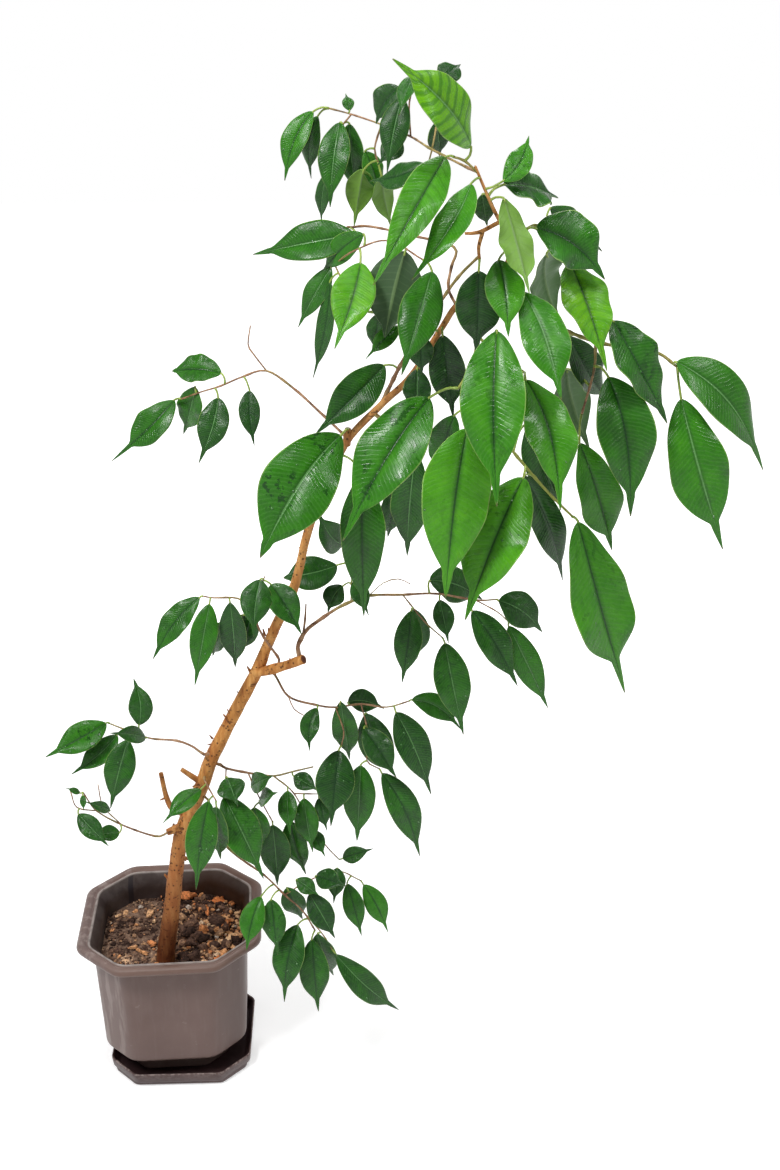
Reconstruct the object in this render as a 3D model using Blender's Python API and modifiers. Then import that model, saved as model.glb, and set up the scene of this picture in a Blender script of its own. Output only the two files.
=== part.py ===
"""Leaning ficus bonsai in an octagonal plastic pot on its saucer.

Metres, +Z up.  The origin is on the floor under the middle of the pot, in the
plane of the saucer's underside, and the front of the pot looks along -Y.  The
plant's plan is written in centimetres and turned into metres where it is used.
"""
import math

import bmesh
import bpy
from mathutils import Vector

CM = 0.01
MM = 0.001
GAP = 0.3 * MM                      # clearance between pieces that touch

# --- saucer -----------------------------------------------------------------
SAUCER_CENTRE = Vector((1.2 * MM, -10.5 * MM, 0))
SAUCER_TURN = -2.3                  # degrees about +Z: it sits a little askew
SAUCER_WIDTH = 123 * MM
SAUCER_CHAMFER = 23.5 * MM
SAUCER_HEIGHT = 14.5 * MM
SAUCER_FOOT_WIDTH = 115 * MM
SAUCER_FOOT_HEIGHT = 5 * MM
SAUCER_FLOOR = 3 * MM
SAUCER_WALL = 2.5 * MM

# --- pot --------------------------------------------------------------------
POT_CENTRE = Vector((-4.2 * MM, -5 * MM, 0))
POT_FOOT_WIDTH = 90 * MM
POT_FOOT_CHAMFER = 18 * MM
POT_BOTTOM = SAUCER_FLOOR + GAP
POT_BODY_BOTTOM = 23.5 * MM
POT_BASE_WIDTH = 123 * MM
POT_BASE_CHAMFER = 26 * MM
POT_SHOULDER_WIDTH = 131 * MM
POT_SHOULDER_CHAMFER = 27.5 * MM
POT_RIM_WIDTH = 157 * MM
POT_RIM_CHAMFER = 36.5 * MM
POT_RIM_HEIGHT = 7 * MM
POT_MOUTH_WIDTH = 134.6 * MM
POT_MOUTH_CHAMFER = 27.6 * MM
POT_MOUTH_DEPTH = 8 * MM            # how far down the mouth flares
POT_TOP = 134 * MM
POT_WALL = 3 * MM
POT_INNER_FLOOR = 27 * MM
POT_RECESS_WIDTH = 74 * MM          # hollow under the foot
POT_RECESS_TOP = 22 * MM

# --- soil -------------------------------------------------------------------
SOIL_TOP = 108 * MM
SOIL_BOTTOM = POT_INNER_FLOOR + GAP

ROOT_CLEARANCE = 1.0                # around the foot of the trunk, in millimetres

# --- plant ------------------------------------------------------------------
LEAF_THICKNESS = 0.6 * MM
STALK_WIDTH = 1.6 * MM
LEAF_CLEARANCE = 0.8 * MM           # from a twig's bark to a leaf that is its own piece
COLLAR = 0.6                        # share of its radius that a side twig starts with
LEAF_FACING = Vector((0.0, -0.75, 0.65))   # leaves show their tops forwards and up

# The trunk's route, from its foot in the soil to the top of the leader:
# x, y and z in centimetres, and the radius in millimetres.
TRUNK = [
    (-1.2, -3.3, 6.5, 9.0), (-1.0, -3.6, 9.4, 8.6), (-0.8, -3.8, 11.7, 8.0), (-0.35, -4, 14.4, 7.2),
    (0.1, -4.2, 17.2, 6.7), (1, -5, 23, 6), (1.65, -5.4, 25.5, 6.2), (2.7, -6, 28, 5.9),
    (3.6, -6.6, 30.5, 5.8), (4.35, -7.1, 32.7, 5.6), (6.3, -8.1, 37, 5.1), (8.15, -9.1, 41, 4.6),
    (8.9, -9.5, 43, 3.9), (9.7, -10, 45, 3.8), (11.1, -11, 48.5, 3.4), (12, -12, 52.5, 3.0),
    (12.8, -13, 55.2, 2.9),
    (14.7, -14.5, 60, 2.7), (17, -15.9, 63, 2.2), (18.9, -17, 65.2, 2.1),
    (20.6, -18.5, 68.5, 2.0), (21.5, -19.5, 70.2, 1.9), (23.3, -20, 71.5, 1.7),
    (24.3, -20.5, 72.8, 1.6), (24.2, -21, 74.3, 1.4), (23.3, -21.3, 76, 1.1), (22.6, -21.5, 77.4, 0.9),
    (22.1, -21.5, 78.5, 0.8),
]

# Cut stubs and canopy twigs that are grown together with the trunk, each a
# route of (x, y, z) in centimetres with a radius in millimetres at each end.
LIMBS = [
    ("upright_stub", 2.6, 1.9, [(1.6, -5.6, 26.6), (0.8, -5.9, 27.3), (0.4, -6, 28.4), (0.1, -6.1, 30.7)]),
    ("short_stub", 2.6, 1.8, [(3.3, -6.6, 30), (1.8, -6.7, 31.3)]),
    ("scar_knob", 4.0, 2.6, [(1.5, -5.4, 25.3), (0.3, -6.1, 25.2)]),
    ("round_bud", 1.7, 1.9, [(0.8, -4.9, 22.2), (1.6, -5.2, 22)]),
    ("lower_thorn", 1.6, 0.8, [(0.2, -4.2, 19), (-0.35, -4.6, 20.2)]),
    ("sawn_branch", 3.8, 3.5, [(7.9, -9.3, 40.8), (9.7, -10.2, 41.6), (11.6, -11.3, 42.75)]),
    ("knuckle", 2.8, 2.2, [(14.8, -14.5, 60), (14.9, -15, 61.2)]),
    ("side_spur", 1.3, 0.9, [(23.6, -21.2, 75.3), (22.5, -20.9, 74.7), (21.7, -20.6, 74.6)]),
    ("dead_spur", 1.3, 1.0, [(22.7, -20.9, 74.7), (22.5, -20.8, 73.8), (22.6, -20.6, 73.1)]),
    ("top_twig", 0.9, 0.7, [(22.3, -21.5, 78.1), (21.5, -21.4, 78.8), (20.9, -21.3, 79)]),
    ("left_twig", 1.0, 0.7, [(21.4, -19.4, 70.1), (20.9, -19.4, 71.2), (21.1, -19.1, 72.4),
                             (21.3, -18.6, 73.5), (19, -16.5, 73.9), (16.5, -14.5, 74.2),
                             (15.3, -13.3, 74)]),
    ("inner_twig", 1.3, 0.9, [(17, -15.9, 63), (18.5, -14.6, 65.5), (20, -13.6, 67.5),
                              (22, -13.5, 70.5), (23.5, -14.3, 72.3)]),
    ("lower_inner_twig", 1.3, 0.9, [(16.6, -15.7, 62.4), (18.5, -14.9, 60.5), (18.3, -13.6, 57.5)]),
    ("front_twig", 1.2, 0.8, [(21.5, -19.5, 70.2), (22.6, -19.8, 68.4), (22.3, -20.3, 66.6),
                              (21.4, -21.2, 65.4)]),
    ("front_right_twig", 1.0, 0.8, [(22.6, -19.8, 68.4), (24, -20.8, 67.2), (25.4, -21.6, 66.4)]),
    ("low_front_twig", 1.1, 0.8, [(22, -20.6, 66.1), (23, -20.2, 63.8), (25, -19.2, 61),
                                  (27.5, -19, 58), (29.3, -19.3, 56.2)]),
    ("right_twig", 1.3, 0.9, [(24.2, -20.5, 72.7), (25.3, -21.3, 71), (26.5, -20.4, 69.5),
                              (30.4, -18.4, 67.5), (34.4, -17.4, 66.6), (36, -17.6, 65.6)]),
    ("hanging_twig", 0.9, 0.7, [(30.4, -18.4, 67.5), (30.5, -17.9, 65.5), (30, -17.3, 62.5)]),
    ("high_right_twig", 1.1, 0.8, [(24.3, -20.8, 74), (26.4, -18.4, 74.7), (28.6, -17.4, 73)]),
]

# Leaves that are pieces of their own.  A leaf is where its blade starts and
# where its tip hangs (x, y, z and x, y, z in centimetres), its width in
# centimetres and how far it is turned about its midrib, in degrees.
CANOPY_LEAVES = {
    "leaf_top": [
        (21.8, -21.7, 79.6, 17.1, -24.5, 84.4, 3.2, -5),
        (20.4, -21.2, 79, 15.8, -27.5, 72.9, 2.4, -15),
        (21.8, -22, 77.6, 18.1, -25.5, 72.8, 2, 12),
        (23.7, -21.7, 77.7, 25.5, -19.5, 80, 1.5, 10),
        (23.9, -20.8, 77.4, 27.5, -19, 76.4, 3.6, -15),
        (22.7, -20.3, 76.8, 23.2, -19.3, 74.8, 1.2, 25),
        (23.7, -22, 76.8, 25, -24.5, 71.7, 2.2, 165),
    ],
    "leaf_inner": [
        (17.4, -14, 65.2, 12.7, -15.5, 61, 2.6, -15),
        (19.1, -18.8, 66.1, 19.1, -18.6, 62.9, 1.8, 10),
        (20.6, -19.3, 68.3, 21.4, -19, 62.9, 2.3, 15),
        (22.5, -21.1, 72.5, 22.5, -20.8, 67.5, 2.9, -5),
        (19.2, -19.6, 68.4, 19.3, -19.6, 65.9, 1.6, 0),
    ],
    "leaf_high_right": [
        (26.1, -19.6, 74.7, 30.5, -19.5, 71.6, 3.8, 0),
        (27.5, -16.5, 75.5, 31.5, -14, 72.4, 2, 10),
        (28.6, -18, 72.4, 30.5, -21.5, 66.4, 3.3, -12),
        (27.3, -17, 72.8, 28.9, -14.2, 67.8, 3.3, 170),
    ],
    "leaf_right": [
        (23.6, -21.6, 73.2, 23.9, -24.2, 69.2, 2.4, 0),
        (25, -22.1, 71.4, 26.8, -26.2, 65.9, 2.8, 5),
        (31.2, -19.2, 69, 35, -19.8, 62.5, 3.3, -10),
        (35.8, -17.9, 66, 42.4, -17.5, 58.5, 3.7, -5),
        (36.2, -18.3, 63.7, 39.4, -19.8, 53.8, 4, 8),
        (31.1, -19.4, 65.5, 32.6, -21.5, 56.9, 3.8, 0),
        (28.9, -17.2, 67.6, 32.2, -15, 62.6, 2.5, 5),
        (29.2, -15.5, 65.1, 31.4, -14, 59.1, 3.1, 175),
    ],
    "leaf_front": [
        (23.4, -23, 69.3, 23, -27.5, 59.9, 3.9, 14),
        (25.3, -22.5, 66.2, 27, -26.5, 59.2, 3.3, -12),
    ],
    "leaf_front_left": [
        (14.4, -16, 61.1, 8.9, -19.5, 54, 4.8, -8),
        (19.7, -20.6, 64.7, 14.1, -23.5, 56.5, 4.2, 10),
        (15.8, -15.4, 58.2, 15.8, -16, 48.1, 3.1, -10),
        (19.4, -15.2, 59.6, 19, -13.5, 51.5, 2.6, 15),
        (17.9, -13.2, 56.3, 17.8, -11.5, 52.2, 1.8, -15),
    ],
    "leaf_front_low": [
        (21.9, -22, 63.1, 20.4, -24.7, 53, 4.4, -10),
        (21.3, -20.4, 63.5, 20.7, -17.3, 58.5, 2.4, 20),
        (25.8, -20.3, 59.3, 21.8, -23.7, 51, 4.3, 15),
        (26.3, -17.8, 58.6, 29.9, -14.5, 49.7, 2.2, 20),
        (26.7, -17, 62.1, 29.3, -16, 55.7, 2.6, 8),
        (29.8, -18, 60.8, 32.5, -17.6, 53.1, 3.2, -5),
        (29.6, -19.7, 56, 33.3, -20.5, 43.8, 4.6, -10),
    ],
}

# Shoots: a twig with its small leaves, grown in one piece.  Each has its twigs'
# routes (radius in millimetres at each end, then points in centimetres) and
# its leaves, written as above.
SHOOTS = {
    "low_left_shoot": {
        "twigs": [
            (1.4, 0.8, [(3.7, -7.8, 33.2), (2.9, -7.3, 33.6), (1.6, -6.9, 34), (-0.4, -6.4, 34),
                        (-1.9, -6, 34.4), (-3.7, -5.5, 35)]),
            (0.8, 0.6, [(-1.9, -6, 34.4), (-3, -5.2, 33.9)]),
        ],
        "leaves": [
            (-3.9, -5.6, 35.1, -8.5, -7.5, 33.3, 2.4, 0), (-3.2, -5.2, 33.8, -6.8, -6.6, 31.2, 2, 10),
            (-2.2, -6.6, 34.1, -3.8, -8, 28.8, 2.4, -5), (-1.3, -6.4, 35.2, -1.6, -5, 38.6, 1.9, 5),
            (-0.8, -6.8, 34.3, -3.2, -9, 36, 1.4, 0),
        ],
    },
    "lowest_left_shoot": {
        "twigs": [
            (1.2, 0.7, [(-0.3, -6.4, 25.05), (-1.2, -6.6, 25.4), (-3.1, -7.7, 27.1), (-4.8, -8.6, 29),
                        (-5.5, -9.8, 31.4)]),
            (0.7, 0.6, [(-4.8, -8.6, 29), (-6.2, -9, 29.6), (-6.5, -9.4, 31.3)]),
            (0.7, 0.6, [(-3.1, -7.7, 27.1), (-4.3, -8.3, 29.2), (-4.6, -8, 31)]),
        ],
        "leaves": [
            (-3.8, -8.3, 28.8, -5.5, -9.8, 30.6, 0.9, 0), (-6.1, -9.3, 29.2, -3.8, -10.6, 27, 1.6, 0),
            (-3.2, -8.4, 26.8, -5.3, -9.2, 27.2, 1.3, 0),
            (-5.7, -9.9, 31.4, -6.6, -10.6, 32.3, 0.5, 0),
            (-5.5, -10, 31.3, -5.4, -10.8, 30.4, 0.5, 0),
        ],
    },
    "trunk_side_shoot": {
        "twigs": [
            (1.2, 0.8, [(3.6, -7.5, 30.9), (4, -9, 30.9), (4.6, -10, 30.3)]),
        ],
        "leaves": [
            (3.4, -8.6, 30.6, 0.5, -10.6, 28.9, 1.7, 15), (4, -9.6, 30.1, 2.75, -11.2, 23.1, 2.5, -12),
            (4.6, -10, 29.8, 4.6, -8.6, 24.1, 2.3, 25),
        ],
    },
    "low_right_shoot": {
        "twigs": [
            (1.6, 0.8, [(4.9, -6.9, 31.7), (5.3, -6.6, 31.2), (7, -6.4, 30.6), (9, -6, 30),
                        (10.5, -5.8, 30.2), (12.2, -5.5, 30.4)]),
            (0.9, 0.6, [(5.3, -6.6, 31.2), (5.2, -7.4, 30)]),
            (0.9, 0.7, [(7, -6.4, 30.6), (7.8, -6.8, 28.6), (8.8, -6.4, 26)]),
            (0.9, 0.7, [(9, -6, 30), (10.6, -5.5, 28), (11.8, -5.4, 25)]),
            (0.8, 0.6, [(11.8, -5.4, 25), (13.2, -5.2, 22.6), (14.2, -4.7, 21)]),
            (0.8, 0.6, [(10.6, -5.5, 28), (12.6, -5.4, 27.8)]),
        ],
        "leaves": [
            (5.4, -7.2, 30.7, 6.2, -9.4, 29.4, 2.3, 0), (5.1, -7.8, 29.4, 8, -10, 23, 3.1, -6),
            (7.4, -7.2, 27.9, 8, -6.4, 23.5, 2.1, 15), (8.8, -6.2, 25.6, 9, -6, 19.6, 2.5, 0),
            (10.1, -6, 28.6, 10.2, -8, 25.7, 1.6, 10), (11.4, -5.6, 27.6, 12, -7, 23.3, 2.1, 20),
            (10.2, -5.5, 25.5, 11.4, -4.5, 19.5, 2.2, 25), (7.2, -6.6, 29.4, 9, -8.4, 31.4, 1.7, 0),
            (7.8, -6.8, 28.2, 9.3, -8.6, 30, 1.6, -15), (10.6, -5.8, 29.8, 12.6, -7.6, 29.4, 1.5, 10),
            (12.6, -5.5, 27.5, 13.2, -6.6, 25, 1.3, 0), (12, -5.5, 24.5, 13, -7, 22.8, 1.3, 0),
            (14.5, -4.6, 21, 17, -5.6, 22.5, 1.4, 5),
        ],
    },
    "lowest_right_shoot": {
        "twigs": [
            (1.3, 0.8, [(3.7, -6.4, 28.3), (5, -7.4, 24.6), (8, -8, 22), (9.6, -8, 20), (11, -8, 18.4),
                        (12, -8, 16.4)]),
            (0.8, 0.7, [(9.6, -8, 20), (11.6, -7, 20.6), (14, -5.8, 20.6), (16, -5, 19)]),
            (0.8, 0.7, [(11, -8, 18.4), (12.6, -8, 16), (13.4, -8, 14.4)]),
        ],
        "leaves": [
            (7.7, -8.5, 20.3, 6.4, -10.4, 16.5, 2, 0), (8.5, -8.5, 20, 8.9, -10, 15.6, 2.1, 12),
            (10.6, -8.2, 17.2, 9.3, -10.4, 11.2, 2.7, 12), (11.7, -8.1, 15.6, 12.1, -9.6, 9.4, 2.5, 0),
            (12.2, -7.9, 16, 13.5, -6.4, 10.5, 2.3, 25), (13.7, -8, 13.9, 19, -7.6, 7.5, 2.3, -5),
            (11.6, -7.7, 19.8, 13.6, -9.2, 16.4, 2.1, 0), (9.8, -7.8, 20.6, 11, -6.4, 16.4, 2, 20),
            (10.6, -7.6, 21.2, 12.4, -8.6, 20.2, 1.4, 0), (12.2, -6.8, 20.9, 14.6, -8.6, 21, 1.8, 0),
            (14, -5.9, 21, 13.6, -7.2, 18.4, 1.6, 0), (14.8, -5.6, 19.2, 15.9, -7, 14.9, 1.8, 0),
            (16.2, -5, 18.6, 18.2, -6, 14.4, 1.9, 0),
        ],
    },
    "mid_right_shoot": {
        "twigs": [
            (1.3, 0.8, [(9.3, -8.6, 40.4), (10.4, -9, 38.6), (12.4, -8.6, 37.6), (14, -8, 37),
                        (16, -7.6, 37), (18, -7.5, 36.6), (19.8, -7, 36.8)]),
            (0.8, 0.7, [(14, -8, 37), (14.6, -8.2, 35), (14.4, -8, 33.6)]),
            (0.8, 0.7, [(16, -7.6, 37), (16.6, -7.8, 34), (16.4, -8, 32.2), (17.4, -7.6, 31.2)]),
            (0.7, 0.6, [(10.4, -9, 38.6), (10.8, -9.2, 37.6), (11.5, -9.3, 37.1)]),
        ],
        "leaves": [
            (12.6, -8.8, 37.4, 11.9, -10.6, 34.7, 1.5, 0), (14.4, -8, 37.5, 15.1, -6.5, 31.5, 2.1, 20),
            (15, -7.2, 37, 17.9, -6.4, 35.9, 1.9, 0), (20, -7, 36.9, 23.9, -7.6, 34.4, 1.9, 5),
            (18.7, -7.6, 36.2, 21.4, -9, 29.5, 2.7, 0), (16.4, -7.4, 36.1, 18.9, -6, 29.4, 2.7, 10),
            (16.2, -8, 35.1, 18.5, -10, 31.8, 2.2, 0), (14.2, -8.1, 33.3, 13.4, -10.5, 27.9, 3.1, 0),
            (15.9, -8.1, 31.9, 15.5, -9, 25.5, 2.6, 5), (17.6, -7.6, 30.8, 20.6, -8.5, 23.5, 2.5, 0),
        ],
    },
    "mid_left_shoot": {
        "twigs": [
            (1.4, 0.8, [(9.8, -9.6, 42), (9.5, -10.1, 42.8), (9, -10.5, 43.8), (8.5, -10.6, 44.8),
                        (7.9, -10.5, 46.4), (7, -10.5, 47.4), (5.2, -10, 47.3), (4.4, -9.6, 47.3)]),
            (0.8, 0.7, [(8, -10.5, 46), (8.6, -11.2, 48.4), (9, -11.6, 49.5)]),
        ],
        "leaves": [
            (4.2, -9.6, 47.2, 0.6, -10.5, 42.8, 2, 5), (4.9, -10.1, 46.9, 3.6, -11.5, 41, 2, -10),
            (6.4, -10.4, 47.1, 6.5, -9, 41.2, 2.1, 15), (8.7, -11.6, 49.3, 8.1, -13.5, 45.7, 2.3, 0),
            (9.4, -11.6, 48.9, 11.5, -13.2, 45.6, 2.2, 0), (6.1, -9, 44.9, 4.8, -8, 41.7, 1.8, 20),
            (8, -10.2, 46.3, 7, -9, 42.4, 1.9, 10),
        ],
    },
    "mid_right_upper_shoot": {
        "twigs": [
            (2.4, 0.8, [(11.2, -10.7, 43.4), (11.45, -10.7, 44.1), (12, -10.4, 44.8), (13.6, -10, 45.8),
                        (14.8, -10, 46.5), (16.5, -10, 47.1), (19, -10, 47.1), (21.5, -10, 47.1),
                        (24.4, -10, 46.5), (26, -10, 46.5)]),
            (0.8, 0.7, [(19, -10, 47.1), (20.6, -10.2, 45), (21.9, -10.5, 43.8)]),
            (0.8, 0.7, [(24.4, -10, 46.5), (26, -10.2, 45.6), (26.9, -10.1, 44.7)]),
            (1.3, 0.7, [(11.6, -10.7, 44.3), (11.8, -10.3, 45.5), (11.9, -10, 46.6)]),
            (0.8, 0.6, [(15.2, -10, 46.7), (15.3, -9, 48.6), (15.2, -8, 50.2)]),
            (0.6, 0.5, [(16.5, -10, 47.1), (17.6, -9.8, 48), (18.7, -9.6, 48.2), (19.6, -9.4, 47.7)]),
        ],
        "leaves": [
            (15.4, -10, 48.3, 16.4, -11.6, 46.2, 1.4, 0), (19.6, -10.4, 46, 18.8, -12, 40.9, 2.1, 10),
            (19.8, -9.6, 45.8, 20.3, -7.8, 40.8, 2.1, 12), (21.7, -10.2, 46.7, 22.2, -12, 44, 1.6, 0),
            (22.1, -10.6, 43.4, 23.4, -12.4, 36.6, 2.7, 5),
            (24.1, -10.3, 45.8, 27.5, -11.6, 40.1, 2.5, 0),
            (26.9, -10.1, 44.4, 30.1, -10.5, 37.6, 2.2, 10),
            (26.1, -10, 46.4, 29.6, -9.5, 43.5, 2.8, 0), (21, -9.6, 48, 25.2, -8, 45.7, 2.9, 0),
            (14.3, -8, 48.8, 10.3, -9, 48.3, 2.7, 0), (14.7, -8.2, 47.2, 13.5, -9, 45.4, 1.7, 0),
            (14.8, -7.9, 50.4, 12.9, -9.4, 53.5, 2.3, 0),
        ],
    },
    "far_left_shoot": {
        "twigs": [
            (1.3, 0.8, [(14.6, -14.1, 60.6), (13.1, -12.8, 61.8), (11.4, -11, 63), (9.6, -10, 64),
                        (7.9, -9.6, 63.5), (6.4, -9.2, 62.8), (5, -8.8, 62.3), (3.6, -8.3, 61.7)]),
            (0.8, 0.6, [(9.6, -10, 64), (8.7, -9.4, 65.1), (8.4, -9.3, 65.7), (8.6, -9, 66.9)]),
        ],
        "leaves": [
            (6.5, -8.9, 63.6, 3, -7.5, 63.5, 2.2, 0), (3.1, -8.1, 61.6, -1.5, -8.6, 57.4, 2.4, 0),
            (4.6, -8.4, 62.6, 3.5, -7, 58.8, 2.2, 15), (6.2, -9.2, 62, 4.7, -10.6, 57.7, 2.2, 0),
            (8.4, -9.8, 62.6, 8.6, -11, 59, 1.5, 0),
        ],
    },
    "top_left_shoot": {
        "twigs": [
            (1.1, 0.7, [(22.1, -20.9, 78.2), (20, -17.6, 79.1), (19, -14.5, 79.6), (17.4, -11.5, 80.1),
                        (15.6, -9.6, 80.6), (14.2, -8.4, 80.9)]),
            (0.8, 0.7, [(19, -14.5, 79.6), (18.9, -14.6, 81.6), (19.4, -14.8, 83.4)]),
            (0.8, 0.7, [(20, -17.6, 79.1), (20.4, -16.9, 80.8), (20.6, -16.6, 82)]),
            (0.8, 0.7, [(17.4, -11.5, 80.1), (17, -11, 78.6), (17.2, -11.4, 77.8)]),
            (0.8, 0.7, [(20, -17.6, 79.1), (19.9, -17, 78.4)]),
            (0.8, 0.7, [(15.6, -9.6, 80.6), (14.4, -8.8, 79), (14.2, -8.6, 77.4)]),
        ],
        "leaves": [
            (13.2, -8.2, 80.7, 11.2, -8.6, 76.4, 1.8, 8), (13.5, -7.8, 80.4, 13, -6.6, 76.3, 1.6, 25),
            (14.9, -9.2, 80.1, 14.1, -10.6, 74.9, 2.1, 10),
            (14, -8.5, 76.9, 13.6, -7.6, 73.4, 1.1, 25), (15.5, -9, 80, 16, -7.5, 75, 1.9, 25),
            (15.5, -9.4, 80.8, 15.3, -8.5, 81.8, 0.8, 0), (16.3, -11, 77.3, 15.7, -9.5, 73.5, 1.9, 170),
            (17.4, -11.5, 77, 18.2, -9.6, 73.4, 1.7, 175), (18.4, -13.4, 82.4, 17, -12.4, 80.2, 1.9, 0),
            (18.5, -14.3, 81.9, 17.5, -15, 77.5, 1.9, 12), (18.6, -13, 79.2, 17, -13.4, 77.8, 1.6, 0),
            (20.6, -16.5, 83, 21.9, -15.4, 83.8, 1.6, 0),
            (19.3, -14.9, 83.2, 18.1, -16.6, 81, 1.3, 25),
            (20.3, -16.6, 80.6, 20.7, -15.4, 78.5, 1.6, 0), (19.7, -16.8, 78.2, 16.5, -14.5, 77, 2, 0),
            (16.4, -10.6, 78.4, 17.4, -9.6, 75.6, 1.5, 0),
        ],
    },
    "upper_left_shoot": {
        "twigs": [
            (1.1, 0.8, [(15, -13, 73.9), (14.4, -13.2, 73), (14.2, -14, 71.8)]),
            (0.8, 0.7, [(14.2, -14, 71.8), (15.4, -16.2, 73), (17.4, -17, 73.7), (19.4, -18.8, 72.8)]),
            (0.8, 0.7, [(14.2, -14, 71.8), (15, -15.8, 70.4), (16.2, -16.4, 69.2)]),
        ],
        "leaves": [
            (15.6, -13.6, 73.6, 9, -11.6, 72.1, 2.7, -10),
            (16, -15.6, 73.9, 13.3, -13, 70.9, 1.7, -20), (14, -13.9, 71.6, 11.8, -13.5, 67.7, 1.6, 0),
            (13.9, -14.4, 70.8, 12.7, -13.4, 64.3, 1.3, 25),
            (15.7, -17, 72.4, 13.9, -20.4, 67.8, 2.7, 0),
            (18.4, -17.9, 73.2, 17.1, -18.4, 68, 3.6, 180),
            (19.9, -19.3, 72.2, 17.8, -22.5, 66.6, 2.6, 0),
            (16.9, -16.3, 69.1, 16.7, -15, 66.3, 1.4, 15), (18.3, -16, 68.2, 16, -16.8, 66.3, 1.2, 0),
        ],
    },
}


# --- scene helpers ----------------------------------------------------------
def clear_scene():
    for obj in list(bpy.data.objects):
        bpy.data.objects.remove(obj, do_unlink=True)


def collection(name, hidden=False):
    group = bpy.data.collections.new(name)
    bpy.context.scene.collection.children.link(group)
    group.hide_render = hidden
    return group


def material(name, colour, roughness):
    mat = bpy.data.materials.new(name)
    mat.use_nodes = True
    shader = mat.node_tree.nodes["Principled BSDF"]
    shader.inputs["Base Color"].default_value = (*colour, 1.0)
    shader.inputs["Roughness"].default_value = roughness
    shader.inputs["Metallic"].default_value = 0.0
    return mat


def new_object(name, mesh, group, mat=None):
    obj = bpy.data.objects.new(name, mesh)
    group.objects.link(obj)
    if mat is not None:
        mesh.materials.clear()
        mesh.materials.append(mat)
    return obj


def evaluated_mesh(obj):
    """The object's mesh with its modifiers applied."""
    bpy.context.view_layer.update()
    graph = bpy.context.evaluated_depsgraph_get()
    return bpy.data.meshes.new_from_object(obj.evaluated_get(graph))


def as_cutter(obj):
    obj.hide_render = True
    obj.display_type = "WIRE"
    return obj


def boolean(obj, operation, other, solver="EXACT"):
    mod = obj.modifiers.new(operation.title(), "BOOLEAN")
    mod.operation = operation
    mod.solver = solver
    mod.object = other


def unite(obj, pieces):
    """Grow thin pieces onto obj; the exact solver leaves open edges on these."""
    for piece in pieces:
        boolean(obj, "UNION", as_cutter(piece), solver="MANIFOLD")


# --- pot and saucer ---------------------------------------------------------
def chamfered_block(name, group, lower, upper, mat=None, round_bottom=0.0):
    """A block with chamfered upright edges that flares from lower to upper.

    lower and upper are (width, chamfer, z).
    """
    mesh = bpy.data.meshes.new(name)
    bm = bmesh.new()
    bmesh.ops.create_cube(bm, size=1.0)
    uprights = [e for e in bm.edges if abs(e.verts[0].co.z - e.verts[1].co.z) > 0.5]
    bmesh.ops.bevel(bm, geom=uprights, offset=0.2, offset_type="OFFSET", segments=1,
                    affect="EDGES")
    for vert in bm.verts:
        width, chamfer, z = upper if vert.co.z > 0 else lower
        half = width / 2
        inner = half - chamfer
        vert.co.x = math.copysign(half if abs(vert.co.x) > 0.4 else inner, vert.co.x)
        vert.co.y = math.copysign(half if abs(vert.co.y) > 0.4 else inner, vert.co.y)
        vert.co.z = z
    if round_bottom:
        floor_edges = [e for e in bm.edges
                       if all(abs(v.co.z - lower[2]) < MM / 10 for v in e.verts)]
        bmesh.ops.bevel(bm, geom=floor_edges, offset=round_bottom, offset_type="OFFSET",
                        segments=3, profile=0.5, affect="EDGES")
    bmesh.ops.recalc_face_normals(bm, faces=bm.faces)
    bm.to_mesh(mesh)
    bm.free()
    return new_object(name, mesh, group, mat)


def make_saucer(group, cutters, mat):
    foot_chamfer = SAUCER_CHAMFER - 4 * MM
    saucer = chamfered_block("saucer", group, (SAUCER_WIDTH - 3 * MM, SAUCER_CHAMFER, SAUCER_FOOT_HEIGHT),
                             (SAUCER_WIDTH, SAUCER_CHAMFER, SAUCER_HEIGHT), mat)
    foot = as_cutter(chamfered_block("saucer_foot", cutters, (SAUCER_FOOT_WIDTH, foot_chamfer, 0.0),
                                     (SAUCER_FOOT_WIDTH, foot_chamfer, SAUCER_FOOT_HEIGHT + MM)))
    hollow_low = SAUCER_FOOT_WIDTH - 2 * SAUCER_WALL
    hollow_high = SAUCER_WIDTH - 2 * SAUCER_WALL
    hollow = as_cutter(chamfered_block("saucer_hollow", cutters,
                                       (hollow_low, foot_chamfer, SAUCER_FLOOR),
                                       (hollow_high, SAUCER_CHAMFER, SAUCER_HEIGHT + MM)))
    boolean(saucer, "UNION", foot)
    boolean(saucer, "DIFFERENCE", hollow)
    for piece in (saucer, foot, hollow):
        piece.location = SAUCER_CENTRE
        piece.rotation_euler = (0, 0, math.radians(SAUCER_TURN))
    return saucer


def pot_width_at(z):
    """Outer width and chamfer of the pot's flared body at height z."""
    share = (z - POT_BODY_BOTTOM) / (POT_TOP - POT_BODY_BOTTOM)
    width = POT_BASE_WIDTH + share * (POT_SHOULDER_WIDTH - POT_BASE_WIDTH)
    chamfer = POT_BASE_CHAMFER + share * (POT_SHOULDER_CHAMFER - POT_BASE_CHAMFER)
    return width, chamfer


def inner_section(z, inset):
    """Width, chamfer and height of a section inside the pot's body."""
    width, chamfer = pot_width_at(z)
    return width - 2 * inset, chamfer - 0.6 * inset, z


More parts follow.
